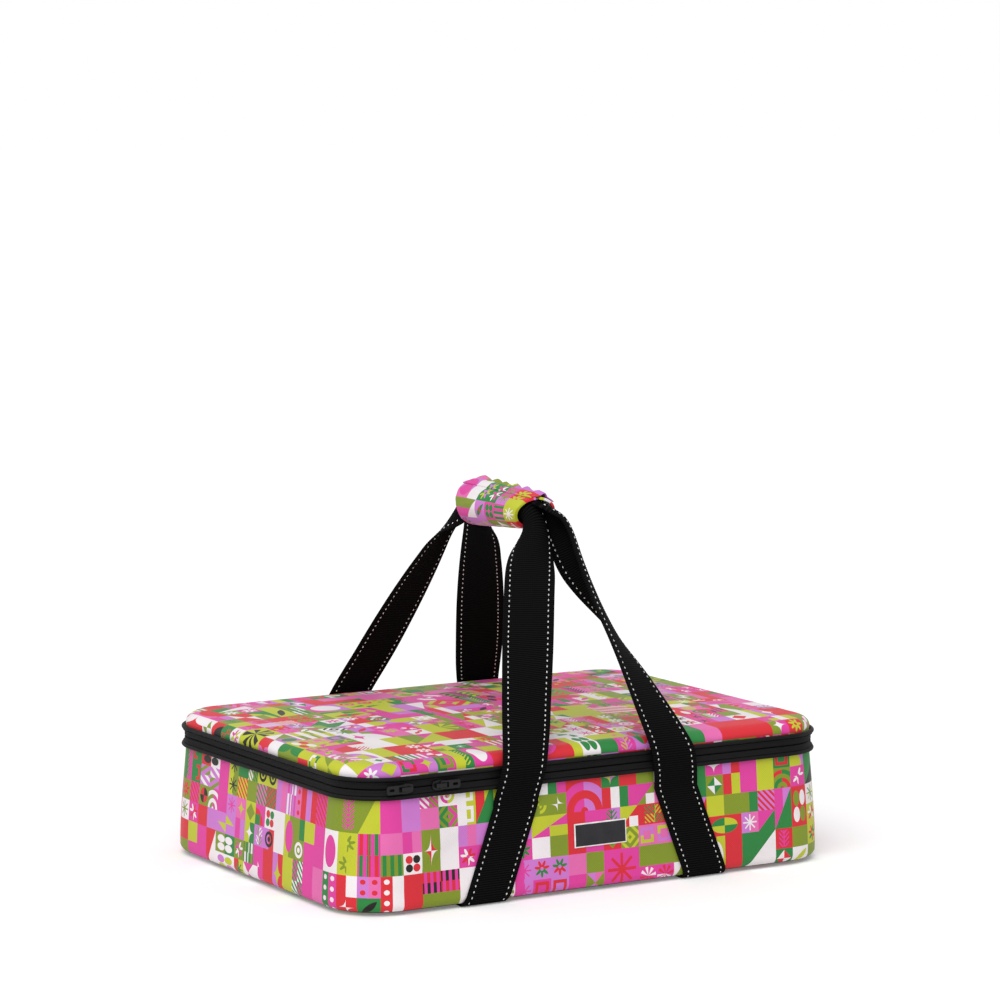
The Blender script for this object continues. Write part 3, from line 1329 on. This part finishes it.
class CARRIER_OT_label(PieceMaker, bpy.types.Operator):
    """Bare woven label with a thin white border, sewn flat on the front."""
    bl_idname = "carrier.label"
    bl_label = "Label"

    def make(self, size, rim, finish):
        low, high = FRAME_LABEL
        xs, zs = (
            np.concatenate([[first], np.linspace(first + LABEL_BORDER, last - LABEL_BORDER, steps), [last]])
            for first, last, steps in ((low.x, high.x, 24), (low.z, high.z, 10))
        )
        front = (rim.count - SIDE_STEPS) // 2 + np.arange(SIDE_STEPS)
        wall_x = rim.at(0)[front, 0]

        def surface(x, z):
            wave = np.interp(x, wall_x, wall_wave(rim, size, z)[front])
            return -(size.half_depth + wall_out(size, z) + wave)

        grid = np.zeros((2, len(zs), len(xs), 3))
        for row, z in enumerate(zs):
            for column, x in enumerate(xs):
                back = surface(x, z) - LABEL_GAP
                at_edge = row in (0, len(zs) - 1) or column in (0, len(xs) - 1)
                lift = LABEL_THICKNESS * (LABEL_EDGE_SHARE if at_edge else 1)
                grid[0, row, column] = (x, back - lift, z)
                grid[1, row, column] = (x, back, z)
        points = grid.reshape(-1, 3)
        width = len(xs)
        area = len(zs) * width
        faces = []
        index = []
        for row in range(len(zs) - 1):
            for column in range(width - 1):
                a = row * width + column
                ring = [a, a + 1, a + width + 1, a + width]
                faces.append(ring)
                edge = row in (0, len(zs) - 2) or column in (0, width - 2)
                index.append(1 if edge else 0)
                faces.append([area + p for p in ring[::-1]])
                index.append(0)
        outline = [c for c in range(width)] + [r * width + width - 1 for r in range(1, len(zs))]
        outline += [(len(zs) - 1) * width + c for c in range(width - 2, -1, -1)]
        outline += [r * width for r in range(len(zs) - 2, 0, -1)]
        for a, b in zip(outline, outline[1:] + outline[:1]):
            faces.append([a, b, area + b, area + a])
            index.append(1)
        uv = points[:, [0, 2]]
        piece = make_object("bare_label", points, faces, faces, uv, [finish.label, finish.label_edge], index)
        settle(soften(piece, TAPE_CRISP), "box", "label", "front_label")


# Hand grip: where the straps run straight through it and how they swing into it
GRIP_X = 3 * MM
GRIP_HEIGHT = 276 * MM
GRIP_STRAIGHT = 4 * MM
# How far below the grip's middle and beyond its mouth a leg bends, at the front (-1) and at the back
ELBOW_DROP = {-1: 11 * MM, 1: 8 * MM}
ELBOW_REACH = {-1: 14 * MM, 1: 20 * MM}
# How far from the mouth each leg lies flat again, and how far its turn is given back
UNCURL_REACH = {"left": {"front": 42 * MM, "back": 32 * MM}, "right": {"front": 84 * MM, "back": 32 * MM}}
TURN_REACH = {"front": 54 * MM, "back": 32 * MM}
LOOSE_SHARE = 0.25
# Two more places that keep a leg taut, and how late each leg turns on edge
TAUT_SHARES = (0.3, 0.8)
TWIST_POWERS = {"left": {"front": 1.9, "back": 2.6}, "right": {"front": 1.0, "back": 1.2}}
# Share by which a leg turns sooner in the middle of its rise
SOONER_SHARES = {"left": {"front": 0, "back": 0}, "right": {"front": 0.06, "back": 0}}
# How far round the grip's middle a strap leaves its mouth, above the level, in degrees
MOUTH_TURNS = {"left": {"front": 0, "back": 40}, "right": {"front": 0, "back": 0}}
ARCH_OUT = 5.4 * MM
# The carried grip: how much its back end is drawn in, and how far its ends rise and sink
GRIP_DRAWN_IN = 8 * MM
GRIP_FRONT_RISE = -1.4 * MM
GRIP_BACK_SINK = 3 * MM
# Share of its height that the grip keeps at its front end, where the webbing pulls it down
FRONT_HEIGHT_SHARE = 0.77
FRONT_CURL_SHARE = 0.78
# How far the webbing stands from the grip's middle plane at the mouth and at the elbow
INSIDE_RUN = 16 * MM
MOUTH_OFFSET = 9.5 * MM
ELBOW_OFFSET = {-1: 8 * MM, 1: 18 * MM}
# Turn that a leg gives back at its elbow, in degrees
TURNED_BACK = {"left": {"front": 42, "back": 0}, "right": {"front": -28, "back": 0}}
# Share by which the curl is held back between the mouth and the flat webbing
CURL_LATE_SHARE = 0.12
# Steps along the webbing in each rib, and between two places of its line
RIB_STEPS = 4
SPAN_STEPS = 60


def carried(place):
    """Where a place of the grip, level in the frame, lies in the carried grip."""
    x, y, z = place
    mouth = (FRAME_GRIP[1].y - FRAME_GRIP[0].y) / 2
    share = (y + mouth) / (2 * mouth)
    level = GRIP_FRONT_RISE - (GRIP_FRONT_RISE + GRIP_BACK_SINK) * share
    kept = 1 - (1 - FRONT_HEIGHT_SHARE) * (1 - min(max(share, 0), 1))
    return (x, y - GRIP_DRAWN_IN * share, GRIP_HEIGHT + (z - GRIP_HEIGHT) * kept + level)


def by_end(values, in_front):
    """The value of a strap's front or back leg at each of its places."""
    return np.where(in_front, values["front"], values["back"])


def curl_of(size, side):
    """Radius of a strap in the grip: the left one's edges lie inside the right one's."""
    return size.curl_radius - (size.web_thickness + size.fit_gap if side < 0 else 0)


def strap_places(size, feet, side):
    """Middle line of a strap's free part: hand-picked places from the front seam to the back seam."""
    middle = size.web_thickness / 2
    half = size.half_depth
    seam_out = wall_out(size, SEWN_TOP) + size.fit_gap + middle
    piping_out = size.fit_gap + size.piping_diameter + size.fit_gap + middle
    zip_out = ARCH_OUT + size.fit_gap + middle
    mouth = (FRAME_GRIP[1].y - FRAME_GRIP[0].y) / 2
    in_grip = GRIP_X + side * curl_of(size, side)

    def leg(front, rim, band, mouth_turn):
        turn = math.radians(mouth_turn)
        zip_y = front * (half + zip_out)
        top = np.array([band - side * size.web_thickness, zip_y, size.band_top])
        elbow_x = GRIP_X + side * ELBOW_OFFSET[side]
        mouth_x = GRIP_X + side * MOUTH_OFFSET * math.cos(turn)
        mouth_height = GRIP_HEIGHT + MOUTH_OFFSET * math.sin(turn)
        elbow_y = front * (mouth + ELBOW_REACH[front])
        elbow = np.array(carried((elbow_x, elbow_y, GRIP_HEIGHT - ELBOW_DROP[front])))
        return [
            (rim, front * (half + seam_out), SEWN_TOP),
            (rim, front * (half + seam_out), SEWN_TOP + SEAM_RUN),
            ((rim + band) / 2, front * (half + piping_out), size.band_bottom),
            (band, zip_y, size.slit),
            tuple(top),
            *(tuple(top + (elbow - top) * share) for share in TAUT_SHARES),
            tuple(elbow),
            carried((mouth_x, front * (mouth + GRIP_STRAIGHT), mouth_height)),
            carried((mouth_x + (in_grip - mouth_x) / 2, front * (mouth - GRIP_STRAIGHT), mouth_height)),
            carried((in_grip, front * (mouth - INSIDE_RUN), GRIP_HEIGHT)),
        ]

    turns = MOUTH_TURNS["left" if side < 0 else "right"]
    front = leg(-1, feet["front_rim"] * MM, feet["front_band"] * MM, turns["front"])
    back = leg(1, feet["back_rim"] * MM, feet["back_band"] * MM, turns["back"])[::-1]
    return np.array(front + [carried((in_grip, 0, GRIP_HEIGHT))] + back)


def smooth_curve(places, steps):
    """A centripetal spline through places, with a number of steps in each span."""
    padded = np.vstack([2 * places[0] - places[1], places, 2 * places[-1] - places[-2]])
    curve = []
    for i in range(1, len(padded) - 2):
        p0, p1, p2, p3 = padded[i - 1:i + 3]
        spans = ((p0, p1), (p1, p2), (p2, p3))
        d0, d1, d2 = (max(np.linalg.norm(b - a), 1e-6) ** 0.5 for a, b in spans)
        start = ((p1 - p0) / d0 - (p2 - p0) / (d0 + d1) + (p2 - p1) / d1) * d1
        end = ((p2 - p1) / d1 - (p3 - p1) / (d1 + d2) + (p3 - p2) / d2) * d1
        square = 3 * (p2 - p1) - 2 * start - end
        cube = 2 * (p1 - p2) + start + end
        curve += [p1 + start * t + square * t ** 2 + cube * t ** 3 for t in np.arange(steps) / steps]
    curve.append(padded[-2])
    return np.array(curve)


def even_steps(points, step):
    """The same line with its points an even step apart."""
    lengths = np.concatenate([[0], np.cumsum(np.linalg.norm(np.diff(points, axis=0), axis=1))])
    count = max(2, int(round(lengths[-1] / step)) + 1)
    places = np.linspace(0, lengths[-1], count)
    return np.column_stack([np.interp(places, lengths, points[:, i]) for i in range(3)])


def unit(vectors):
    """Vectors of length one."""
    return vectors / np.maximum(np.linalg.norm(vectors, axis=1), 1e-9)[:, None]


def stations_along(points, loose, twist, turn):
    """Directions across and out of the webbing at each point of its line."""
    along = unit(np.gradient(points, axis=0))
    level = np.array([1.0, 0.0, 0.0])
    square = unit(level - along * along[:, :1])
    flat = unit(level + (square - level) * loose[:, None])
    steep = unit(np.cross(flat, along)) * turn
    across = flat * np.cos(twist)[:, None] + steep * np.sin(twist)[:, None]
    return across, unit(np.cross(across, along))


def web_point(size, station, wide, lift):
    """A place on the webbing from how far it lies across and over its middle."""
    at, across, facing, curl = station
    curved = curl > 1e-4
    radius = np.where(curved, size.web_width / np.maximum(curl, 1e-4), 1)
    angle = curl * wide / size.web_width
    sideways = np.where(curved, (radius + lift) * np.sin(angle), wide)
    rise = np.where(curved, (radius + lift) * np.cos(angle) - radius, lift)
    return at + across * sideways[:, None] + facing * rise[:, None]


# The webbing's selvedge: how far in from its edge and how thick it is there, and where it is full
SELVEDGE_IN = (0.15 * MM, 0.5 * MM)
SELVEDGE_SHARES = (0.45, 0.8)
FULL_FROM = 1.2 * MM
WEB_COLUMNS = 11


def web_section(size):
    """Half outline of the webbing: how far across and how thick, with a rounded selvedge."""
    half = size.web_width / 2
    edge = half - np.array(SELVEDGE_IN)
    full = np.linspace(FULL_FROM - half, half - FULL_FROM, WEB_COLUMNS)
    wide = np.concatenate([-edge, full, edge[::-1]])
    share = np.concatenate([SELVEDGE_SHARES, np.ones(WEB_COLUMNS), SELVEDGE_SHARES[::-1]])
    return wide, share * size.web_thickness / 2


# Rings of a stitch: how far along it each lies and how thick it is there
STITCH_RING_SHARES = ((-1.0, 0.25), (-0.8, 0.75), (0.0, 1.0), (0.8, 0.75), (1.0, 0.25))
STITCH_FLAT_SHARE = 0.8
STITCH_SIDES = 6
STITCH_SUNK = 0.15 * MM
# Share of the ribs' depth that is left at the webbing's thin edge
EDGE_RIB_SHARE = 0.4


def stitch_points(size, middle, up, ahead):
    """One stitch: rings along a short, rounded and slightly flattened thread."""
    sideways = np.cross(up, ahead)
    points = []
    for along_share, round_share in STITCH_RING_SHARES:
        reach = round_share * size.stitch_width / 2
        centre = middle + ahead * (along_share * size.stitch_length / 2)
        for turn in 2 * math.pi * np.arange(STITCH_SIDES) / STITCH_SIDES:
            flattened = math.sin(turn) * reach * STITCH_FLAT_SHARE
            points.append(centre + sideways * (math.cos(turn) * reach) + up * flattened)
    return np.array(points)


def webbing(size, name, points, across, facing, curl, materials):
    """Ribbed webbing along its stations, with two rows of white stitches on both faces."""
    count = len(points)
    step = np.linalg.norm(np.diff(points, axis=0), axis=1).mean()
    lengths = np.arange(count) * step
    rib = (0.5 - 0.5 * np.cos(2 * math.pi * lengths / size.rib_pitch)) * size.rib_depth
    wide, thick = web_section(size)
    station = (points, across, facing, curl)
    columns = []
    for sign in (1, -1):
        for i in range(len(wide))[::sign]:
            groove = rib if thick[i] >= size.web_thickness / 2 else rib * EDGE_RIB_SHARE
            columns.append(web_point(size, station, np.full(count, wide[i]), sign * (thick[i] - groove)))
    grid = np.stack(columns, axis=1)
    faces, corners = woven_faces(count, grid.shape[1], False, True)
    close_ends(faces, corners, count, grid.shape[1], True)
    index = [0] * len(faces)
    vertices = [grid.reshape(-1, 3)]
    uvs = [unrolled_grid(lengths, np.concatenate([wide, wide[::-1], wide[:1]]), "ij")]
    start = len(vertices[0])
    uv_start = len(uvs[0])

    last_ring = (len(STITCH_RING_SHARES) - 1) * STITCH_SIDES
    tips = [[first + i for i in range(STITCH_SIDES)] for first in (0, last_ring)]
    stitch_faces = woven_faces(len(STITCH_RING_SHARES), STITCH_SIDES, False, True)[0] + tips
    pitch_steps = size.stitch_pitch / step
    places = [int(round((number + 0.5) * pitch_steps)) for number in range(int((count - 1) / pitch_steps))]
    forward = unit(np.gradient(points, axis=0))
    inset = size.web_width / 2 - size.stitch_inset
    surface = size.web_thickness / 2 - STITCH_SUNK
    for side, face in ((1, 1), (1, -1), (-1, 1), (-1, -1)):
        for at in places:
            if at >= count - 1:
                continue
            one = tuple(part[at:at + 1] for part in station)
            middle, above = (
                web_point(size, one, np.array([side * inset]), np.array([face * lift]))[0]
                for lift in (surface, surface + MM)
            )
            vertices.append(stitch_points(size, middle, (above - middle) / MM, forward[at]))
            faces += [[start + p for p in ring] for ring in stitch_faces]
            corners += [[uv_start] * len(ring) for ring in stitch_faces]
            index += [1] * len(stitch_faces)
            uvs.append(np.array([[lengths[at], side * inset]]))
            start += len(vertices[-1])
            uv_start += 1
    return make_object(name, np.vstack(vertices), faces, corners, np.vstack(uvs), materials, index)


def sewn_line(size, feet):
    """Middle line of the sewn webbing, from the front seam down, under the bag and up the back."""
    centre = size.flare - size.bottom_edge
    middle = size.fit_gap + size.web_thickness / 2
    turn = quarter_turn(centre, size.edge_top, size.bottom_edge + middle, 0, -90, 12)
    front = [(wall_out(size, SEWN_TOP) + middle, SEWN_TOP), *turn]
    half = size.half_depth
    down = [(-half - out, z) for out, z in front]
    up = [(half + out, z) for out, z in front][::-1]
    return np.array([(strap_x(size, feet, y, z), y, z) for y, z in down + up])


class CARRIER_OT_straps(PieceMaker, bpy.types.Operator):
    """Ribbed black webbing: each strap's sewn part on the bag and its free loop through the grip."""
    bl_idname = "carrier.straps"
    bl_label = "Straps"

    def make(self, size, rim, finish):
        step = size.rib_pitch / RIB_STEPS
        materials = [finish.webbing, finish.thread]
        mouth = (FRAME_GRIP[1].y - FRAME_GRIP[0].y) / 2
        for side_name, side in (("left", -1), ("right", 1)):
            feet = STRAP_FEET[side_name]
            sewn = even_steps(sewn_line(size, feet), step)
            still = np.zeros(len(sewn))
            across, facing = stations_along(sewn, still, still, 1)
            piece = webbing(size, f"{side_name}_sewn_webbing", sewn, across, facing, still, materials)
            settle(soften(piece, WEB_CRISP), "box", "webbing", f"{side_name}_strap_sewn")
            free = even_steps(smooth_curve(strap_places(size, feet, side), SPAN_STEPS), step)
            rise = np.clip((free[:, 2] - size.band_top) / (GRIP_HEIGHT - size.band_top), 0, 1)
            shifted_y = np.where(free[:, 1] < 0, free[:, 1], free[:, 1] + GRIP_DRAWN_IN)
            in_front = free[:, 1] < 0
            from_mouth = np.abs(shifted_y) - mouth - GRIP_STRAIGHT
            curled = 1 - np.clip(from_mouth / by_end(UNCURL_REACH[side_name], in_front), 0, 1)
            near = 1 - np.clip(from_mouth / by_end(TURN_REACH, in_front), 0, 1)
            loose = smooth(rise, 0, LOOSE_SHARE)
            turned = rise ** by_end(TWIST_POWERS[side_name], in_front)
            turned *= 1 + by_end(SOONER_SHARES[side_name], in_front) * np.sin(np.pi * rise)
            leaving = by_end(MOUTH_TURNS[side_name], in_front)
            leaving = leaving * smooth(np.abs(shifted_y), mouth - INSIDE_RUN, mouth)
            given_back = by_end(TURNED_BACK[side_name], in_front) * np.sin(np.pi * np.sqrt(1 - near)) ** 2
            twist = np.radians(90 - leaving) * turned - np.radians(given_back)
            to_back = np.clip((free[:, 1] + mouth) / (2 * mouth), 0, 1)
            curl_radius = curl_of(size, side) * (FRONT_CURL_SHARE + (1 - FRONT_CURL_SHARE) * to_back)
            late = CURL_LATE_SHARE * np.sin(np.pi * curled) ** 2
            curl = size.web_width / curl_radius * np.maximum(smooth(curled, 0, 1) - late, 0)
            across, facing = stations_along(free, loose, twist, -side)
            piece = webbing(size, f"{side_name}_loop_webbing", free, across, facing, curl, materials)
            soften(piece, WEB_CRISP)
            GRIP_X + side * curl_of(size, side)
            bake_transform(piece)
            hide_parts(f"{side_name}_strap_loop")


# Layers of the grip outside the webbing, and the angles from +X where each starts and ends
GRIP_FOAM = 1.6 * MM
GRIP_CLOTH = 0.9 * MM
FLAP_CLOTH = 1 * MM
FASTENER_TAPE = 0.8 * MM
SLIT_ANGLES = (96, 444)
FLAP_ANGLES = (38, 110)
FASTENER_ANGLES = (42, 78)
# How far padding and tapes end inside the cloth, and how far the ends of a layer are rounded
FOAM_SHORT = 2 * MM
TAPE_SHORT = 7 * MM
CLOTH_ROUND = 0.8 * MM
FLAP_ROUND = 0.5 * MM
LEAST_ROUND = 0.2 * MM
ROUND_LIMIT_SHARE = 0.9
# Steps of a layer along the grip, and degrees between two steps round it
GRIP_STEPS = 48
GRIP_TURN = 3
# Where the print lies on the grip
GRIP_CLOTH_SHIFT = 96 * MM
# The cloth hangs over the back mouth: how far, how soon, and the side that hangs further, in degrees
GRIP_OVERHANG = 12 * MM
OVERHANG_POWER = 9
OVERHANG_LEAN = 35
# The cover: how plump it is and within which reach, its folds, and where its hem turns in over the padding
PLUMPNESS = 0.5 * MM
PLUMP_REACH = 14 * MM
FOLD_DEPTH = 0.35 * MM
FOLD_LENGTH = 14 * MM
HEM_REACH = (0.7 * MM, 1.8 * MM)
# The flap's free edge: how far it stands off, its waves, and where its ends and its seam hold it down
LOOSE_LIFT = 1.2 * MM
LOOSE_WAVE = 0.8 * MM
LOOSE_LENGTH = 13 * MM
LOOSE_REACH = 12 * MM
LOOSE_ANGLES = (-52, -38)
SEATED_REACH = 5 * MM
SEATED_ANGLES = (92, 109)
# Frilled ridge where the flap's cloth is gathered: its height, its angle from +X, its spread and its frills
RIDGE_HEIGHT = 2.4 * MM
RIDGE_ANGLE = 74
RIDGE_SPREAD = 8
FRILL_SHARES = (0.8, 0.5)
FRILL_LENGTH = 5.5 * MM
FRILL_PITCH = 2.6 * MM


def tube_layer(name, inner, thickness, angles, ends, finish, rounding, shape=None):
    """A layer of the grip lying along Y from a radius outwards, between two angles, with rounded ends."""
    outer = inner + thickness
    low, high = ends
    turns = max(3, int((angles[1] - angles[0]) / GRIP_TURN))
    arc = np.radians(np.linspace(*angles, turns + 1))
    edge = (1 - np.cos(np.linspace(0, math.pi / 2, 5))) * max(rounding, LEAST_ROUND)
    ys = np.concatenate([low + edge, np.linspace(low, high, GRIP_STEPS)[1:-1], (high - edge)[::-1]])
    rings = len(ys)
    from_end = np.minimum(ys - low, high - ys)
    drop = np.zeros(rings)
    if rounding:
        drop = rounding * (1 - np.sqrt(1 - (1 - np.minimum(from_end / rounding, 1)) ** 2))
    grid = []
    for layer, order in ((outer, 1), (inner, -1)):
        for angle in arc[::order]:
            leaning = 0.5 + 0.5 * math.sin(angle + math.radians(OVERHANG_LEAN))
            line = []
            for y, inset in zip(ys, drop):
                radius = layer - min(inset, thickness * ROUND_LIMIT_SHARE) if order > 0 else layer
                radius += shape(angle, y, order) if shape else 0
                hood = GRIP_OVERHANG * (y / high) ** OVERHANG_POWER * leaning
                x, rise = radius * math.cos(angle), radius * math.sin(angle)
                line.append(carried((GRIP_X + x, y + hood, GRIP_HEIGHT + rise)))
            grid.append(line)
    grid = np.array(grid)
    rows = len(grid)
    faces, corners = woven_faces(rows, rings, True, False)
    spread = np.concatenate([arc * outer, arc[::-1] * outer, arc[:1] * outer]) + GRIP_CLOTH_SHIFT
    uv = unrolled_grid(np.append(ys, ys[-1]), spread)[:, ::-1]
    for column in (0, rings - 1):
        for i in range(turns):
            ring = [i, i + 1, rows - 2 - i, rows - 1 - i]
            faces.append([row * rings + column for row in ring])
            corners.append([row * (rings + 1) + column for row in ring])
    return make_object(name, grid.reshape(-1, 3), faces, corners, uv, [finish])


def grip_layer(body, slot, node, *layer):
    """Makes a layer of the grip and carries it on its body."""
    return settle(soften(tube_layer(*layer), TAPE_CRISP), body, slot, node)


class CARRIER_OT_grip(PieceMaker, bpy.types.Operator):
    """Padded printed grip round both straps, with the loop tape that the flap closes on."""
    bl_idname = "carrier.grip"
    bl_label = "Grip"

    def make(self, size, rim, finish):
        low, high = FRAME_GRIP[0].y, FRAME_GRIP[1].y
        foam_inner = size.curl_radius + size.web_thickness / 2 + size.fit_gap
        cloth_inner = foam_inner + GRIP_FOAM + size.fit_gap
        tape_inner = cloth_inner + GRIP_CLOTH + size.fit_gap

        def plump(angle, y, order):
            end = min(y - low, high - y)
            if order < 0:
                return -(GRIP_FOAM + size.fit_gap) * (1 - float(smooth(end, *HEM_REACH)))
            place = Vector((4 * math.cos(angle), 4 * math.sin(angle), y / FOLD_LENGTH))
            return PLUMPNESS * float(smooth(end, 0, PLUMP_REACH)) + FOLD_DEPTH * noise.noise(place)

        grip_layer(
            "right_strap", "foam", "grip_foam",
            "grip_padding", foam_inner, GRIP_FOAM, SLIT_ANGLES,
            (low + FOAM_SHORT, high - FOAM_SHORT), finish.foam, CLOTH_ROUND,
        )
        cover = grip_layer(
            "right_strap", "printed_cloth", "grip_cover",
            "printed_grip", cloth_inner, GRIP_CLOTH, SLIT_ANGLES,
            (low, high), finish.cloth, CLOTH_ROUND, plump,
        )
        grip_layer(
            "right_strap", "fastener", "grip_loop_tape",
            "loop_tape", tape_inner, FASTENER_TAPE, FASTENER_ANGLES,
            (low + TAPE_SHORT, high - TAPE_SHORT), finish.fastener, 0,
        )


class CARRIER_OT_grip_flap(PieceMaker, bpy.types.Operator):
    """Printed flap that closes the grip along its top, with its hook tape below."""
    bl_idname = "carrier.grip_flap"
    bl_label = "Grip Flap"

    def make(self, size, rim, finish):
        low, high = FRAME_FLAP[0].y, FRAME_FLAP[1].y
        seat = size.curl_radius + size.web_thickness / 2 + 3 * size.fit_gap + GRIP_FOAM + GRIP_CLOTH
        hook_inner = seat + FASTENER_TAPE + size.fit_gap
        over = hook_inner + FASTENER_TAPE + size.fit_gap

        def raised(angle, y, order):
            degrees = math.degrees(angle)
            end = min(y - low, high - y)
            seated = max(float(smooth(degrees, *SEATED_ANGLES)), 1 - float(smooth(end, 0, SEATED_REACH)))
            loose = LOOSE_LIFT + LOOSE_WAVE * noise.noise(Vector((y / LOOSE_LENGTH, 0, 3.3)))
            loose *= float(smooth(-degrees, *LOOSE_ANGLES)) * float(smooth(end, 0, LOOSE_REACH))
            uneven, wavy = FRILL_SHARES
            gathered = noise.noise(Vector((y / FRILL_LENGTH, 0.4, 7.7)))
            frill = 1 + uneven * gathered + wavy * math.sin(y / FRILL_PITCH)
            ridge = RIDGE_HEIGHT * frill * math.exp(-((degrees - RIDGE_ANGLE) / RIDGE_SPREAD) ** 2)
            return loose - seated * (over - seat) + ridge

        grip_layer(
            "grip_flap", "printed_cloth", "grip_flap",
            "printed_flap", over, FLAP_CLOTH, FLAP_ANGLES,
            (low, high), finish.cloth, FLAP_ROUND, raised,
        )
        grip_layer(
            "grip_flap", "fastener", "grip_hook_tape",
            "hook_tape", hook_inner, FASTENER_TAPE, FASTENER_ANGLES,
            (low + TAPE_SHORT, high - TAPE_SHORT), finish.fastener, 0,
        )


# Camera, fitted to the photograph's outlines
CAMERA_PLACE = (-1.5505, -2.5857, 0.6279)
CAMERA_TURN = (math.pi / 2 - 0.115, 0.0, -0.541)
CAMERA_LENS = 140.4
FLOOR_SIDE = 40.0
WORLD_LIGHT = 0.55
SUN_LIGHT = 1.75
SUN_ANGLE = 50
SUN_TURN = (math.radians(42), 0.0, math.radians(-48))
FLOOR_GLOW = 0.16


class CARRIER_OT_stage(bpy.types.Operator):
    """Pale floor, soft studio light and the camera."""
    bl_idname = "carrier.stage"
    bl_label = "Stage"

    def execute(self, context):
        scene = context.scene
        scene.view_settings.view_transform = "Standard"
        camera = bpy.data.objects.new("camera", bpy.data.cameras.new("camera"))
        camera.location = CAMERA_PLACE
        camera.rotation_euler = CAMERA_TURN
        camera.data.lens = CAMERA_LENS
        scene.collection.objects.link(camera)
        scene.camera = camera
        self.light_world(scene)
        self.light_sun(scene)
        self.lay_floor(scene)
        return {"FINISHED"}

    def light_world(self, scene):
        world = bpy.data.worlds.new("studio")
        world.use_nodes = True
        world.node_tree.nodes.clear()
        tree = world.node_tree
        rays = put(tree, "ShaderNodeLightPath")
        seen = maths(tree, "MAXIMUM", rays.outputs["Is Camera Ray"], rays.outputs["Is Transmission Ray"])
        seen = maths(tree, "MAXIMUM", seen, rays.outputs["Is Glossy Ray"])
        strength = ranged(tree, seen, (0.0, 1.0), (WORLD_LIGHT, 1.0))
        light = put(tree, "ShaderNodeBackground", None, {"Color": (1, 1, 1, 1), "Strength": strength})
        put(tree, "ShaderNodeOutputWorld", None, {"Surface": light})
        scene.world = world

    def light_sun(self, scene):
        data = bpy.data.lights.new("soft_key", "SUN")
        data.energy = SUN_LIGHT
        data.angle = math.radians(SUN_ANGLE)
        sun = bpy.data.objects.new("soft_key", data)
        sun.rotation_euler = SUN_TURN
        scene.collection.objects.link(sun)

    def lay_floor(self, scene):
        mesh = bpy.data.meshes.new("floor")
        worker = bmesh.new()
        bmesh.ops.create_grid(worker, x_segments=8, y_segments=8, size=FLOOR_SIDE / 2)
        worker.to_mesh(mesh)
        worker.free()
        floor = bpy.data.objects.new("floor", mesh)
        scene.collection.objects.link(floor)
        finish, tree = new_finish("seamless_paper")
        rays = put(tree, "ShaderNodeLightPath")
        colour = tuple(scene.carrier_colours.floor)
        paper = put(tree, "ShaderNodeBsdfDiffuse", None, {"Color": colour})
        glow_strength = maths(tree, "MULTIPLY", rays.outputs["Is Camera Ray"], FLOOR_GLOW)
        glow = put(tree, "ShaderNodeEmission", None, {"Color": colour, "Strength": glow_strength})
        close_finish(tree, put(tree, "ShaderNodeAddShader", None, (paper, glow)))
        mesh.materials.append(finish)


PIECE_OPERATORS = (
    CARRIER_OT_stage, CARRIER_OT_outer_wall, CARRIER_OT_bottom, CARRIER_OT_wall_lining, CARRIER_OT_lid,
    CARRIER_OT_lid_lining, CARRIER_OT_piping, CARRIER_OT_zip, CARRIER_OT_hinge_tape, CARRIER_OT_sliders,
    CARRIER_OT_label, CARRIER_OT_straps, CARRIER_OT_grip, CARRIER_OT_grip_flap,
)


class CARRIER_PT_sidebar(bpy.types.Panel):
    """Lists the pieces and the sizes and colours that they take."""
    bl_idname = "CARRIER_PT_sidebar"
    bl_label = "Dish Carrier"
    bl_space_type = "VIEW_3D"
    bl_region_type = "UI"
    bl_category = "Carrier"

    def draw(self, context):
        for operator in PIECE_OPERATORS:
            self.layout.operator(operator.bl_idname)
        for group in (context.scene.carrier_sizes, context.scene.carrier_colours):
            column = self.layout.column()
            for name in type(group).__annotations__:
                column.prop(group, name)


CLASSES = (CarrierSizes, CarrierColours, *PIECE_OPERATORS, CARRIER_PT_sidebar)


def register():
    """Makes the operators, the sidebar and the settings known to Blender."""
    for item in CLASSES:
        bpy.utils.register_class(item)
    bpy.types.Scene.carrier_sizes = bpy.props.PointerProperty(type=CarrierSizes)
    bpy.types.Scene.carrier_colours = bpy.props.PointerProperty(type=CarrierColours)


def unregister():
    """Takes them away again."""
    del bpy.types.Scene.carrier_colours
    del bpy.types.Scene.carrier_sizes
    for item in reversed(CLASSES):
        bpy.utils.unregister_class(item)


def main():
    """Makes the stage and every piece in order."""
    register()
    for operator in PIECE_OPERATORS:
        group, name = operator.bl_idname.split(".")
        getattr(getattr(bpy.ops, group), name)()


if __name__ == "__main__":
    main()
